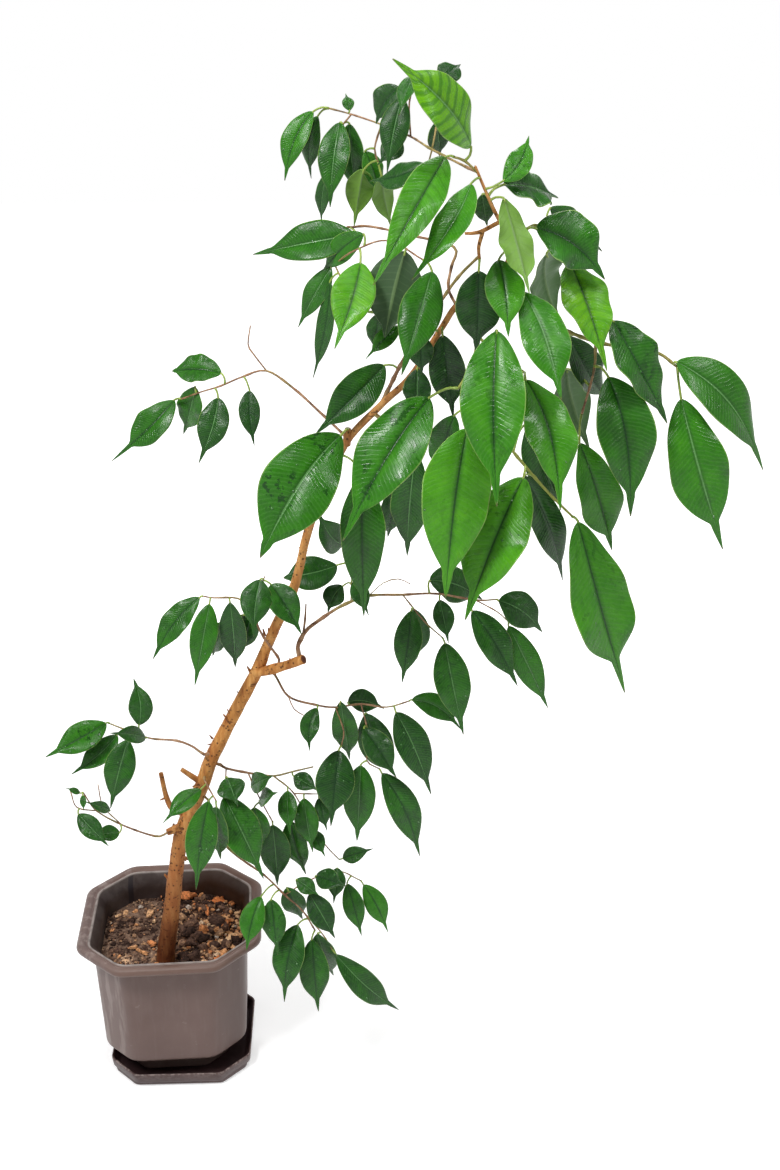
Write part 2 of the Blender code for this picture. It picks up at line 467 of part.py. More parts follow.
def make_pot(group, cutters, mat):
    pot = chamfered_block("pot", group, (POT_BASE_WIDTH, POT_BASE_CHAMFER, POT_BODY_BOTTOM),
                          (POT_SHOULDER_WIDTH, POT_SHOULDER_CHAMFER, POT_TOP), mat, 5 * MM)
    rim = as_cutter(chamfered_block(
        "pot_rim", cutters, (POT_RIM_WIDTH - 2 * MM, POT_RIM_CHAMFER, POT_TOP - POT_RIM_HEIGHT),
        (POT_RIM_WIDTH, POT_RIM_CHAMFER, POT_TOP)))
    foot = as_cutter(chamfered_block(
        "pot_foot", cutters, (POT_FOOT_WIDTH, POT_FOOT_CHAMFER, POT_BOTTOM),
        (POT_FOOT_WIDTH, POT_FOOT_CHAMFER, POT_BODY_BOTTOM + MM)))
    hollow = as_cutter(chamfered_block(
        "pot_hollow", cutters, inner_section(POT_INNER_FLOOR, POT_WALL),
        inner_section(POT_TOP + MM, POT_WALL)))
    mouth = as_cutter(chamfered_block(
        "pot_mouth", cutters, inner_section(POT_TOP - POT_MOUTH_DEPTH, POT_WALL + MM / 2),
        (POT_MOUTH_WIDTH, POT_MOUTH_CHAMFER, POT_TOP + MM)))
    recess = as_cutter(chamfered_block(
        "pot_recess", cutters, (POT_RECESS_WIDTH + MM, POT_FOOT_CHAMFER - 2 * MM, POT_BOTTOM - MM),
        (POT_RECESS_WIDTH - MM, POT_FOOT_CHAMFER - 2 * MM, POT_RECESS_TOP)))
    boolean(pot, "UNION", rim)
    boolean(pot, "UNION", foot)
    boolean(pot, "DIFFERENCE", hollow)
    boolean(pot, "DIFFERENCE", mouth)
    boolean(pot, "DIFFERENCE", recess)
    for piece in (pot, rim, foot, hollow, mouth, recess):
        piece.location = POT_CENTRE
    return pot


def make_soil(group, cutters, mat):
    inset = POT_WALL + GAP
    soil = chamfered_block("potting_soil", group, inner_section(SOIL_BOTTOM, inset),
                           inner_section(SOIL_TOP, inset), mat)
    soil.location = POT_CENTRE
    # The hole that the foot of the trunk stands in.
    foot = [(*point[:3], point[3] + ROOT_CLEARANCE) for point in TRUNK[:3]]
    foot[0] = (*foot[0][:2], foot[0][2] - 0.06, foot[0][3])
    hole = as_cutter(tube("root_hole", cutters, foot, sides=2))
    boolean(soil, "DIFFERENCE", hole)
    return soil


# --- twigs ------------------------------------------------------------------
def tube(name, group, points, mat=None, sides=1):
    """A closed round tube through points of x, y, z (cm) and radius (mm)."""
    curve = bpy.data.curves.new(name, "CURVE")
    curve.dimensions = "3D"
    curve.bevel_depth = MM
    curve.bevel_resolution = sides
    curve.use_fill_caps = True
    spline = curve.splines.new("POLY")
    spline.points.add(len(points) - 1)
    for spot, (x, y, z, radius) in zip(spline.points, points):
        spot.co = (x * CM, y * CM, z * CM, 1.0)
        spot.radius = radius
    carrier = bpy.data.objects.new(name + "_curve", curve)
    group.objects.link(carrier)
    mesh = evaluated_mesh(carrier)
    bpy.data.objects.remove(carrier, do_unlink=True)
    bm = bmesh.new()
    bm.from_mesh(mesh)
    bmesh.ops.remove_doubles(bm, verts=bm.verts, dist=MM / 20)
    bmesh.ops.recalc_face_normals(bm, faces=bm.faces)
    bm.to_mesh(mesh)
    bm.free()
    return new_object(name, mesh, group, mat)


def tapered(start_radius, end_radius, route):
    """The route's points, each with its radius in millimetres."""
    last = len(route) - 1
    return [(*spot, start_radius + (end_radius - start_radius) * i / last)
            for i, spot in enumerate(route)]


def side_twig(name, group, start_radius, end_radius, route, mat=None):
    """A twig whose first end is narrow enough to lie inside the one it grows on."""
    points = tapered(start_radius, end_radius, route)
    x, y, z, radius = points[0]
    points[0] = (x, y, z, COLLAR * radius)
    return tube(name, group, points, mat)


def nearest_on_routes(point, routes):
    """Closest point to a leaf's base on any of the twigs, and the radius there."""
    best, thickness = None, 0.0
    for route in routes:
        for a, b in zip(route, route[1:]):
            start, end = Vector(a[:3]) * CM, Vector(b[:3]) * CM
            share = (point - start).dot(end - start) / (end - start).length_squared
            share = min(max(share, 0.0), 1.0)
            spot = start.lerp(end, share)
            if best is None or (spot - point).length < (best - point).length:
                best = spot
                thickness = (a[3] + (b[3] - a[3]) * share) * MM
    return best, thickness


# --- leaves -----------------------------------------------------------------
def half_width(share):
    """Half of a leaf's width, as a share of its greatest, along its midrib."""
    widest = 0.42
    power = math.log(0.5) / math.log(widest)
    return max(math.sin(math.pi * share ** power) ** 0.85, 0.0) * (1 - 0.15 * share)


def leaf_mesh(name, stalk_from, base, tip, width, turn, columns, shares):
    """One thin leaf: a grid shaped into a stalk and a folded, arched blade."""
    along = (tip - base).normalized()
    length = (tip - base).length
    up = LEAF_FACING - along * LEAF_FACING.dot(along)
    if up.length < 0.2:
        up = Vector((0, 0, 1)) - along * along.z
    up.normalize()
    angle = math.radians(turn)
    up = up * math.cos(angle) + along.cross(up) * math.sin(angle)
    side = along.cross(up)
    rows = [(stalk_from, STALK_WIDTH / 4), (base, STALK_WIDTH / 2)]
    for share in shares:
        arch = 0.10 * length * math.sin(math.pi * share)
        rows.append((base.lerp(tip, share) + up * arch,
                     max(width / 2 * half_width(share), 0.4 * MM)))
    mesh = bpy.data.meshes.new(name)
    bm = bmesh.new()
    bmesh.ops.create_grid(bm, x_segments=columns, y_segments=len(rows) - 1, size=1.0)
    for vert in bm.verts:
        row = round((vert.co.y + 1) / 2 * (len(rows) - 1))
        across = vert.co.x
        middle, half = rows[row]
        fold = 0.25 * half * abs(across) if columns > 1 and row > 1 else 0.0
        vert.co = middle + side * half * across + up * fold
    bmesh.ops.recalc_face_normals(bm, faces=bm.faces)
    bm.to_mesh(mesh)
    bm.free()
    return mesh


def make_leaf(name, group, plan, routes, mat=None, joined=False):
    """A leaf on the nearest twig: its own piece, or one to join to the twig."""
    base = Vector(plan[0:3]) * CM
    tip = Vector(plan[3:6]) * CM
    width, turn = plan[6] * CM, plan[7]
    root, radius = nearest_on_routes(base, routes)
    outward = (base - root).normalized()
    if joined:
        # Straight from inside the twig to the tip, so that the solid can't fold.
        along = (tip - root).normalized()
        base = root + along * max((base - root).dot(along), radius + MM)
        start = root - along * radius * 0.3
        columns, shares = 1, (0.3, 0.65, 1.0)
    else:
        start = root + outward * (radius + LEAF_CLEARANCE)
        columns, shares = 2, (0.14, 0.38, 0.64, 0.86, 1.0)
    leaf = new_object(name, leaf_mesh(name, start, base, tip, width, turn, columns, shares),
                      group, mat)
    thick = leaf.modifiers.new("Thickness", "SOLIDIFY")
    thick.thickness = LEAF_THICKNESS
    thick.offset = 0.0
    return leaf


def make_trunk(group, mat):
    trunk = tube("trunk", group, TRUNK, mat, sides=2)
    grown_on = collection("trunk_limbs", hidden=True)
    unite(trunk, [side_twig(name, grown_on, start, end, route)
                  for name, start, end, route in LIMBS])


def make_canopy(group, mat):
    routes = [TRUNK] + [tapered(start, end, route) for _, start, end, route in LIMBS]
    for prefix, plans in CANOPY_LEAVES.items():
        for number, plan in enumerate(plans, start=1):
            make_leaf(f"{prefix}_{number}", group, plan, routes, mat)


def make_shoot(name, plan, group, mat):
    """A twig with its small leaves, united in one closed body."""
    first, *others = plan["twigs"]
    shoot = tube(name, group, tapered(*first), mat)
    grown_on = collection(name + "_growth", hidden=True)
    unite(shoot, [side_twig(f"{name}_side_{number}", grown_on, *twig)
                  for number, twig in enumerate(others, start=1)])
    routes = [tapered(*twig) for twig in plan["twigs"]]
    unite(shoot, [make_leaf(f"{name}_blade_{number}", grown_on, leaf_plan, routes, joined=True)
                  for number, leaf_plan in enumerate(plan["leaves"], start=1)])


def main():
    clear_scene()
    parts = collection("ficus_bonsai")
    cutters = collection("cutters", hidden=True)
    pot_plastic = material("pot_plastic", (0.155, 0.112, 0.105), 0.45)
    saucer_plastic = material("saucer_plastic", (0.07, 0.04, 0.035), 0.45)
    soil = material("soil", (0.07, 0.045, 0.03), 0.95)
    bark = material("bark", (0.50, 0.23, 0.08), 0.7)
    leaf_green = material("leaf_green", (0.035, 0.17, 0.02), 0.35)
    make_saucer(parts, cutters, saucer_plastic)
    make_pot(parts, cutters, pot_plastic)
    make_soil(parts, cutters, soil)
    make_trunk(parts, bark)
    make_canopy(parts, leaf_green)
    for name, plan in SHOOTS.items():
        make_shoot(name, plan, parts, leaf_green)


main()
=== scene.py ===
"""The finished look of the leaning ficus bonsai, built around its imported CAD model.

Metres, +Z up.  The origin is on the floor under the pot and the pot's front
looks along -Y.  The plant's plan repeats the CAD's, in centimetres.
"""

import math
import random

import bpy
import numpy as np
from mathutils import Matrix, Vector, noise


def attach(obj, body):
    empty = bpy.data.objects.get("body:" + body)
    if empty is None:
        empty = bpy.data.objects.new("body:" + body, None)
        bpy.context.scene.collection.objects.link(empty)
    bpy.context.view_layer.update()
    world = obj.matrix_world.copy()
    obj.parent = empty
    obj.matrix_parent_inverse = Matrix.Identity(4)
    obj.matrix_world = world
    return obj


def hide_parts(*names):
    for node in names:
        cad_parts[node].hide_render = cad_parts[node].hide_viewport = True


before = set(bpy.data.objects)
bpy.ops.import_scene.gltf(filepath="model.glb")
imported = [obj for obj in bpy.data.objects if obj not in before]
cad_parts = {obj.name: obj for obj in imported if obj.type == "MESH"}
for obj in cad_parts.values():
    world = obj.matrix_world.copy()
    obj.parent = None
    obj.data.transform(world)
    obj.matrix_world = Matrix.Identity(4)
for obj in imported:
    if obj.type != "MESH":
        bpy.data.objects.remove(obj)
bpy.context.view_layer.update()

CM = 0.01
MM = 0.001
SEED = 7

# --- saucer and pot, as in the CAD ------------------------------------------
SAUCER_CENTRE = (1.2 * MM, -10.5 * MM)
SAUCER_TURN = -2.3         # degrees about +Z
SAUCER_WIDTH = 123 * MM
SAUCER_CHAMFER = 23.5 * MM
SAUCER_HEIGHT = 14.5 * MM
SAUCER_FOOT_WIDTH = 115 * MM
SAUCER_FOOT_HEIGHT = 5 * MM
SAUCER_FLOOR = 3 * MM
POT_CENTRE = (-4.2 * MM, -5 * MM)
POT_BODY_BOTTOM = 23.5 * MM
POT_BASE_WIDTH = 123 * MM
POT_BASE_CHAMFER = 26 * MM
POT_SHOULDER_WIDTH = 131 * MM
POT_SHOULDER_CHAMFER = 27.5 * MM
POT_RIM_WIDTH = 157 * MM
POT_RIM_CHAMFER = 36.5 * MM
POT_RIM_HEIGHT = 7 * MM
POT_MOUTH_WIDTH = 134.6 * MM
POT_MOUTH_CHAMFER = 27.6 * MM
POT_TOP = 134 * MM
POT_WALL = 3 * MM
POT_FOOT_WIDTH = 90 * MM
POT_FOOT_CHAMFER = 18 * MM
POT_BOTTOM = 3.3 * MM
POT_EDGE = 5 * MM          # radius of the round edge under the body
SOIL_TOP = 108 * MM
TRUNK_FOOT = (-8 * MM, -38 * MM)

LEAF_FACING = np.array((0.0, -0.75, 0.65))   # leaves show their tops forwards and up

# The trunk's route, from its foot in the soil to the top of the leader:
# x, y and z in centimetres, and the radius in millimetres.
TRUNK = [
    (-1.2, -3.3, 6.5, 9.0), (-1.0, -3.6, 9.4, 8.6), (-0.8, -3.8, 11.7, 8.0), (-0.35, -4, 14.4, 7.2),
    (0.1, -4.2, 17.2, 6.7), (1, -5, 23, 6), (1.65, -5.4, 25.5, 6.2), (2.7, -6, 28, 5.9),
    (3.6, -6.6, 30.5, 5.8), (4.35, -7.1, 32.7, 5.6), (6.3, -8.1, 37, 5.1), (8.15, -9.1, 41, 4.6),
    (8.9, -9.5, 43, 3.9), (9.7, -10, 45, 3.8), (11.1, -11, 48.5, 3.4), (12, -12, 52.5, 3.0),
    (12.8, -13, 55.2, 2.9),
    (14.7, -14.5, 60, 2.7), (17, -15.9, 63, 2.2), (18.9, -17, 65.2, 2.1),
    (20.6, -18.5, 68.5, 2.0), (21.5, -19.5, 70.2, 1.9), (23.3, -20, 71.5, 1.7),
    (24.3, -20.5, 72.8, 1.6), (24.2, -21, 74.3, 1.4), (23.3, -21.3, 76, 1.1), (22.6, -21.5, 77.4, 0.9),
    (22.1, -21.5, 78.5, 0.8),
]

# Cut stubs and canopy twigs that are grown together with the trunk, each a
# route of (x, y, z) in centimetres with a radius in millimetres at each end.
LIMBS = [
    ("upright_stub", 2.6, 1.9, [(1.6, -5.6, 26.6), (0.8, -5.9, 27.3), (0.4, -6, 28.4), (0.1, -6.1, 30.7)]),
    ("short_stub", 2.6, 1.8, [(3.3, -6.6, 30), (1.8, -6.7, 31.3)]),
    ("scar_knob", 4.0, 2.6, [(1.5, -5.4, 25.3), (0.3, -6.1, 25.2)]),
    ("round_bud", 1.7, 1.9, [(0.8, -4.9, 22.2), (1.6, -5.2, 22)]),
    ("lower_thorn", 1.6, 0.8, [(0.2, -4.2, 19), (-0.35, -4.6, 20.2)]),
    ("sawn_branch", 3.8, 3.5, [(7.9, -9.3, 40.8), (9.7, -10.2, 41.6), (11.6, -11.3, 42.75)]),
    ("knuckle", 2.8, 2.2, [(14.8, -14.5, 60), (14.9, -15, 61.2)]),
    ("side_spur", 1.3, 0.9, [(23.6, -21.2, 75.3), (22.5, -20.9, 74.7), (21.7, -20.6, 74.6)]),
    ("dead_spur", 1.3, 1.0, [(22.7, -20.9, 74.7), (22.5, -20.8, 73.8), (22.6, -20.6, 73.1)]),
    ("top_twig", 0.9, 0.7, [(22.3, -21.5, 78.1), (21.5, -21.4, 78.8), (20.9, -21.3, 79)]),
    ("left_twig", 1.0, 0.7, [(21.4, -19.4, 70.1), (20.9, -19.4, 71.2), (21.1, -19.1, 72.4),
                             (21.3, -18.6, 73.5), (19, -16.5, 73.9), (16.5, -14.5, 74.2),
                             (15.3, -13.3, 74)]),
    ("inner_twig", 1.3, 0.9, [(17, -15.9, 63), (18.5, -14.6, 65.5), (20, -13.6, 67.5),
                              (22, -13.5, 70.5), (23.5, -14.3, 72.3)]),
    ("lower_inner_twig", 1.3, 0.9, [(16.6, -15.7, 62.4), (18.5, -14.9, 60.5), (18.3, -13.6, 57.5)]),
    ("front_twig", 1.2, 0.8, [(21.5, -19.5, 70.2), (22.6, -19.8, 68.4), (22.3, -20.3, 66.6),
                              (21.4, -21.2, 65.4)]),
    ("front_right_twig", 1.0, 0.8, [(22.6, -19.8, 68.4), (24, -20.8, 67.2), (25.4, -21.6, 66.4)]),
    ("low_front_twig", 1.1, 0.8, [(22, -20.6, 66.1), (23, -20.2, 63.8), (25, -19.2, 61),
                                  (27.5, -19, 58), (29.3, -19.3, 56.2)]),
    ("right_twig", 1.3, 0.9, [(24.2, -20.5, 72.7), (25.3, -21.3, 71), (26.5, -20.4, 69.5),
                              (30.4, -18.4, 67.5), (34.4, -17.4, 66.6), (36, -17.6, 65.6)]),
    ("hanging_twig", 0.9, 0.7, [(30.4, -18.4, 67.5), (30.5, -17.9, 65.5), (30, -17.3, 62.5)]),
    ("high_right_twig", 1.1, 0.8, [(24.3, -20.8, 74), (26.4, -18.4, 74.7), (28.6, -17.4, 73)]),
]

# Leaves that are pieces of their own.  A leaf is where its blade starts and
# where its tip hangs (x, y, z and x, y, z in centimetres), its width in
# centimetres and how far it is turned about its midrib, in degrees.
CANOPY_LEAVES = {
    "leaf_top": [
        (21.8, -21.7, 79.6, 17.1, -24.5, 84.4, 3.2, -5),
        (20.4, -21.2, 79, 15.8, -27.5, 72.9, 2.4, -15),
        (21.8, -22, 77.6, 18.1, -25.5, 72.8, 2, 12),
        (23.7, -21.7, 77.7, 25.5, -19.5, 80, 1.5, 10),
        (23.9, -20.8, 77.4, 27.5, -19, 76.4, 3.6, -15),
        (22.7, -20.3, 76.8, 23.2, -19.3, 74.8, 1.2, 25),
        (23.7, -22, 76.8, 25, -24.5, 71.7, 2.2, 165),
    ],
    "leaf_inner": [
        (17.4, -14, 65.2, 12.7, -15.5, 61, 2.6, -15),
        (19.1, -18.8, 66.1, 19.1, -18.6, 62.9, 1.8, 10),
        (20.6, -19.3, 68.3, 21.4, -19, 62.9, 2.3, 15),
        (22.5, -21.1, 72.5, 22.5, -20.8, 67.5, 2.9, -5),
        (19.2, -19.6, 68.4, 19.3, -19.6, 65.9, 1.6, 0),
    ],
    "leaf_high_right": [
        (26.1, -19.6, 74.7, 30.5, -19.5, 71.6, 3.8, 0),
        (27.5, -16.5, 75.5, 31.5, -14, 72.4, 2, 10),
        (28.6, -18, 72.4, 30.5, -21.5, 66.4, 3.3, -12),
        (27.3, -17, 72.8, 28.9, -14.2, 67.8, 3.3, 170),
    ],
    "leaf_right": [
        (23.6, -21.6, 73.2, 23.9, -24.2, 69.2, 2.4, 0),
        (25, -22.1, 71.4, 26.8, -26.2, 65.9, 2.8, 5),
        (31.2, -19.2, 69, 35, -19.8, 62.5, 3.3, -10),
        (35.8, -17.9, 66, 42.4, -17.5, 58.5, 3.7, -5),
        (36.2, -18.3, 63.7, 39.4, -19.8, 53.8, 4, 8),
        (31.1, -19.4, 65.5, 32.6, -21.5, 56.9, 3.8, 0),
        (28.9, -17.2, 67.6, 32.2, -15, 62.6, 2.5, 5),
        (29.2, -15.5, 65.1, 31.4, -14, 59.1, 3.1, 175),
    ],
    "leaf_front": [
        (23.4, -23, 69.3, 23, -27.5, 59.9, 3.9, 14),
        (25.3, -22.5, 66.2, 27, -26.5, 59.2, 3.3, -12),
    ],
    "leaf_front_left": [
        (14.4, -16, 61.1, 8.9, -19.5, 54, 4.8, -8),
        (19.7, -20.6, 64.7, 14.1, -23.5, 56.5, 4.2, 10),
        (15.8, -15.4, 58.2, 15.8, -16, 48.1, 3.1, -10),
        (19.4, -15.2, 59.6, 19, -13.5, 51.5, 2.6, 15),
        (17.9, -13.2, 56.3, 17.8, -11.5, 52.2, 1.8, -15),
    ],
    "leaf_front_low": [
        (21.9, -22, 63.1, 20.4, -24.7, 53, 4.4, -10),
        (21.3, -20.4, 63.5, 20.7, -17.3, 58.5, 2.4, 20),
        (25.8, -20.3, 59.3, 21.8, -23.7, 51, 4.3, 15),
        (26.3, -17.8, 58.6, 29.9, -14.5, 49.7, 2.2, 20),
        (26.7, -17, 62.1, 29.3, -16, 55.7, 2.6, 8),
        (29.8, -18, 60.8, 32.5, -17.6, 53.1, 3.2, -5),
        (29.6, -19.7, 56, 33.3, -20.5, 43.8, 4.6, -10),
    ],
}

# Shoots: a twig with its small leaves, grown in one piece.  Each has its twigs'
# routes (radius in millimetres at each end, then points in centimetres) and
# its leaves, written as above.
SHOOTS = {
    "low_left_shoot": {
        "twigs": [
            (1.4, 0.8, [(3.7, -7.8, 33.2), (2.9, -7.3, 33.6), (1.6, -6.9, 34), (-0.4, -6.4, 34),
                        (-1.9, -6, 34.4), (-3.7, -5.5, 35)]),
            (0.8, 0.6, [(-1.9, -6, 34.4), (-3, -5.2, 33.9)]),
        ],
        "leaves": [
            (-3.9, -5.6, 35.1, -8.5, -7.5, 33.3, 2.4, 0), (-3.2, -5.2, 33.8, -6.8, -6.6, 31.2, 2, 10),
            (-2.2, -6.6, 34.1, -3.8, -8, 28.8, 2.4, -5), (-1.3, -6.4, 35.2, -1.6, -5, 38.6, 1.9, 5),
            (-0.8, -6.8, 34.3, -3.2, -9, 36, 1.4, 0),
        ],
    },
    "lowest_left_shoot": {
        "twigs": [
            (1.2, 0.7, [(-0.3, -6.4, 25.05), (-1.2, -6.6, 25.4), (-3.1, -7.7, 27.1), (-4.8, -8.6, 29),
                        (-5.5, -9.8, 31.4)]),
            (0.7, 0.6, [(-4.8, -8.6, 29), (-6.2, -9, 29.6), (-6.5, -9.4, 31.3)]),
            (0.7, 0.6, [(-3.1, -7.7, 27.1), (-4.3, -8.3, 29.2), (-4.6, -8, 31)]),
        ],
        "leaves": [
            (-3.8, -8.3, 28.8, -5.5, -9.8, 30.6, 0.9, 0), (-6.1, -9.3, 29.2, -3.8, -10.6, 27, 1.6, 0),
            (-3.2, -8.4, 26.8, -5.3, -9.2, 27.2, 1.3, 0),
            (-5.7, -9.9, 31.4, -6.6, -10.6, 32.3, 0.5, 0),
            (-5.5, -10, 31.3, -5.4, -10.8, 30.4, 0.5, 0),
        ],
    },
    "trunk_side_shoot": {
        "twigs": [
            (1.2, 0.8, [(3.6, -7.5, 30.9), (4, -9, 30.9), (4.6, -10, 30.3)]),
        ],
        "leaves": [
            (3.4, -8.6, 30.6, 0.5, -10.6, 28.9, 1.7, 15), (4, -9.6, 30.1, 2.75, -11.2, 23.1, 2.5, -12),
            (4.6, -10, 29.8, 4.6, -8.6, 24.1, 2.3, 25),
        ],
    },
    "low_right_shoot": {
        "twigs": [
            (1.6, 0.8, [(4.9, -6.9, 31.7), (5.3, -6.6, 31.2), (7, -6.4, 30.6), (9, -6, 30),
                        (10.5, -5.8, 30.2), (12.2, -5.5, 30.4)]),
            (0.9, 0.6, [(5.3, -6.6, 31.2), (5.2, -7.4, 30)]),
            (0.9, 0.7, [(7, -6.4, 30.6), (7.8, -6.8, 28.6), (8.8, -6.4, 26)]),
            (0.9, 0.7, [(9, -6, 30), (10.6, -5.5, 28), (11.8, -5.4, 25)]),
            (0.8, 0.6, [(11.8, -5.4, 25), (13.2, -5.2, 22.6), (14.2, -4.7, 21)]),
            (0.8, 0.6, [(10.6, -5.5, 28), (12.6, -5.4, 27.8)]),
        ],
        "leaves": [
            (5.4, -7.2, 30.7, 6.2, -9.4, 29.4, 2.3, 0), (5.1, -7.8, 29.4, 8, -10, 23, 3.1, -6),
            (7.4, -7.2, 27.9, 8, -6.4, 23.5, 2.1, 15), (8.8, -6.2, 25.6, 9, -6, 19.6, 2.5, 0),
            (10.1, -6, 28.6, 10.2, -8, 25.7, 1.6, 10), (11.4, -5.6, 27.6, 12, -7, 23.3, 2.1, 20),
            (10.2, -5.5, 25.5, 11.4, -4.5, 19.5, 2.2, 25), (7.2, -6.6, 29.4, 9, -8.4, 31.4, 1.7, 0),
            (7.8, -6.8, 28.2, 9.3, -8.6, 30, 1.6, -15), (10.6, -5.8, 29.8, 12.6, -7.6, 29.4, 1.5, 10),
            (12.6, -5.5, 27.5, 13.2, -6.6, 25, 1.3, 0), (12, -5.5, 24.5, 13, -7, 22.8, 1.3, 0),
            (14.5, -4.6, 21, 17, -5.6, 22.5, 1.4, 5),
        ],
    },
    "lowest_right_shoot": {
        "twigs": [
            (1.3, 0.8, [(3.7, -6.4, 28.3), (5, -7.4, 24.6), (8, -8, 22), (9.6, -8, 20), (11, -8, 18.4),
                        (12, -8, 16.4)]),
            (0.8, 0.7, [(9.6, -8, 20), (11.6, -7, 20.6), (14, -5.8, 20.6), (16, -5, 19)]),
            (0.8, 0.7, [(11, -8, 18.4), (12.6, -8, 16), (13.4, -8, 14.4)]),
        ],
        "leaves": [
            (7.7, -8.5, 20.3, 6.4, -10.4, 16.5, 2, 0), (8.5, -8.5, 20, 8.9, -10, 15.6, 2.1, 12),
            (10.6, -8.2, 17.2, 9.3, -10.4, 11.2, 2.7, 12), (11.7, -8.1, 15.6, 12.1, -9.6, 9.4, 2.5, 0),
            (12.2, -7.9, 16, 13.5, -6.4, 10.5, 2.3, 25), (13.7, -8, 13.9, 19, -7.6, 7.5, 2.3, -5),
            (11.6, -7.7, 19.8, 13.6, -9.2, 16.4, 2.1, 0), (9.8, -7.8, 20.6, 11, -6.4, 16.4, 2, 20),
            (10.6, -7.6, 21.2, 12.4, -8.6, 20.2, 1.4, 0), (12.2, -6.8, 20.9, 14.6, -8.6, 21, 1.8, 0),
            (14, -5.9, 21, 13.6, -7.2, 18.4, 1.6, 0), (14.8, -5.6, 19.2, 15.9, -7, 14.9, 1.8, 0),
            (16.2, -5, 18.6, 18.2, -6, 14.4, 1.9, 0),
        ],
    },
    "mid_right_shoot": {
        "twigs": [
            (1.3, 0.8, [(9.3, -8.6, 40.4), (10.4, -9, 38.6), (12.4, -8.6, 37.6), (14, -8, 37),
                        (16, -7.6, 37), (18, -7.5, 36.6), (19.8, -7, 36.8)]),
            (0.8, 0.7, [(14, -8, 37), (14.6, -8.2, 35), (14.4, -8, 33.6)]),
            (0.8, 0.7, [(16, -7.6, 37), (16.6, -7.8, 34), (16.4, -8, 32.2), (17.4, -7.6, 31.2)]),
            (0.7, 0.6, [(10.4, -9, 38.6), (10.8, -9.2, 37.6), (11.5, -9.3, 37.1)]),
        ],
        "leaves": [
            (12.6, -8.8, 37.4, 11.9, -10.6, 34.7, 1.5, 0), (14.4, -8, 37.5, 15.1, -6.5, 31.5, 2.1, 20),
            (15, -7.2, 37, 17.9, -6.4, 35.9, 1.9, 0), (20, -7, 36.9, 23.9, -7.6, 34.4, 1.9, 5),
            (18.7, -7.6, 36.2, 21.4, -9, 29.5, 2.7, 0), (16.4, -7.4, 36.1, 18.9, -6, 29.4, 2.7, 10),
            (16.2, -8, 35.1, 18.5, -10, 31.8, 2.2, 0), (14.2, -8.1, 33.3, 13.4, -10.5, 27.9, 3.1, 0),
            (15.9, -8.1, 31.9, 15.5, -9, 25.5, 2.6, 5), (17.6, -7.6, 30.8, 20.6, -8.5, 23.5, 2.5, 0),
        ],
    },
    "mid_left_shoot": {
        "twigs": [
            (1.4, 0.8, [(9.8, -9.6, 42), (9.5, -10.1, 42.8), (9, -10.5, 43.8), (8.5, -10.6, 44.8),
                        (7.9, -10.5, 46.4), (7, -10.5, 47.4), (5.2, -10, 47.3), (4.4, -9.6, 47.3)]),
            (0.8, 0.7, [(8, -10.5, 46), (8.6, -11.2, 48.4), (9, -11.6, 49.5)]),
        ],
        "leaves": [
            (4.2, -9.6, 47.2, 0.6, -10.5, 42.8, 2, 5), (4.9, -10.1, 46.9, 3.6, -11.5, 41, 2, -10),
            (6.4, -10.4, 47.1, 6.5, -9, 41.2, 2.1, 15), (8.7, -11.6, 49.3, 8.1, -13.5, 45.7, 2.3, 0),
            (9.4, -11.6, 48.9, 11.5, -13.2, 45.6, 2.2, 0), (6.1, -9, 44.9, 4.8, -8, 41.7, 1.8, 20),
            (8, -10.2, 46.3, 7, -9, 42.4, 1.9, 10),
        ],
    },
    "mid_right_upper_shoot": {
        "twigs": [
            (2.4, 0.8, [(11.2, -10.7, 43.4), (11.45, -10.7, 44.1), (12, -10.4, 44.8), (13.6, -10, 45.8),
                        (14.8, -10, 46.5), (16.5, -10, 47.1), (19, -10, 47.1), (21.5, -10, 47.1),
                        (24.4, -10, 46.5), (26, -10, 46.5)]),
            (0.8, 0.7, [(19, -10, 47.1), (20.6, -10.2, 45), (21.9, -10.5, 43.8)]),
            (0.8, 0.7, [(24.4, -10, 46.5), (26, -10.2, 45.6), (26.9, -10.1, 44.7)]),
            (1.3, 0.7, [(11.6, -10.7, 44.3), (11.8, -10.3, 45.5), (11.9, -10, 46.6)]),
            (0.8, 0.6, [(15.2, -10, 46.7), (15.3, -9, 48.6), (15.2, -8, 50.2)]),
            (0.6, 0.5, [(16.5, -10, 47.1), (17.6, -9.8, 48), (18.7, -9.6, 48.2), (19.6, -9.4, 47.7)]),
        ],
        "leaves": [
            (15.4, -10, 48.3, 16.4, -11.6, 46.2, 1.4, 0), (19.6, -10.4, 46, 18.8, -12, 40.9, 2.1, 10),
            (19.8, -9.6, 45.8, 20.3, -7.8, 40.8, 2.1, 12), (21.7, -10.2, 46.7, 22.2, -12, 44, 1.6, 0),
            (22.1, -10.6, 43.4, 23.4, -12.4, 36.6, 2.7, 5),
            (24.1, -10.3, 45.8, 27.5, -11.6, 40.1, 2.5, 0),
            (26.9, -10.1, 44.4, 30.1, -10.5, 37.6, 2.2, 10),
            (26.1, -10, 46.4, 29.6, -9.5, 43.5, 2.8, 0), (21, -9.6, 48, 25.2, -8, 45.7, 2.9, 0),
            (14.3, -8, 48.8, 10.3, -9, 48.3, 2.7, 0), (14.7, -8.2, 47.2, 13.5, -9, 45.4, 1.7, 0),
            (14.8, -7.9, 50.4, 12.9, -9.4, 53.5, 2.3, 0),
        ],
    },
    "far_left_shoot": {
        "twigs": [
            (1.3, 0.8, [(14.6, -14.1, 60.6), (13.1, -12.8, 61.8), (11.4, -11, 63), (9.6, -10, 64),
                        (7.9, -9.6, 63.5), (6.4, -9.2, 62.8), (5, -8.8, 62.3), (3.6, -8.3, 61.7)]),
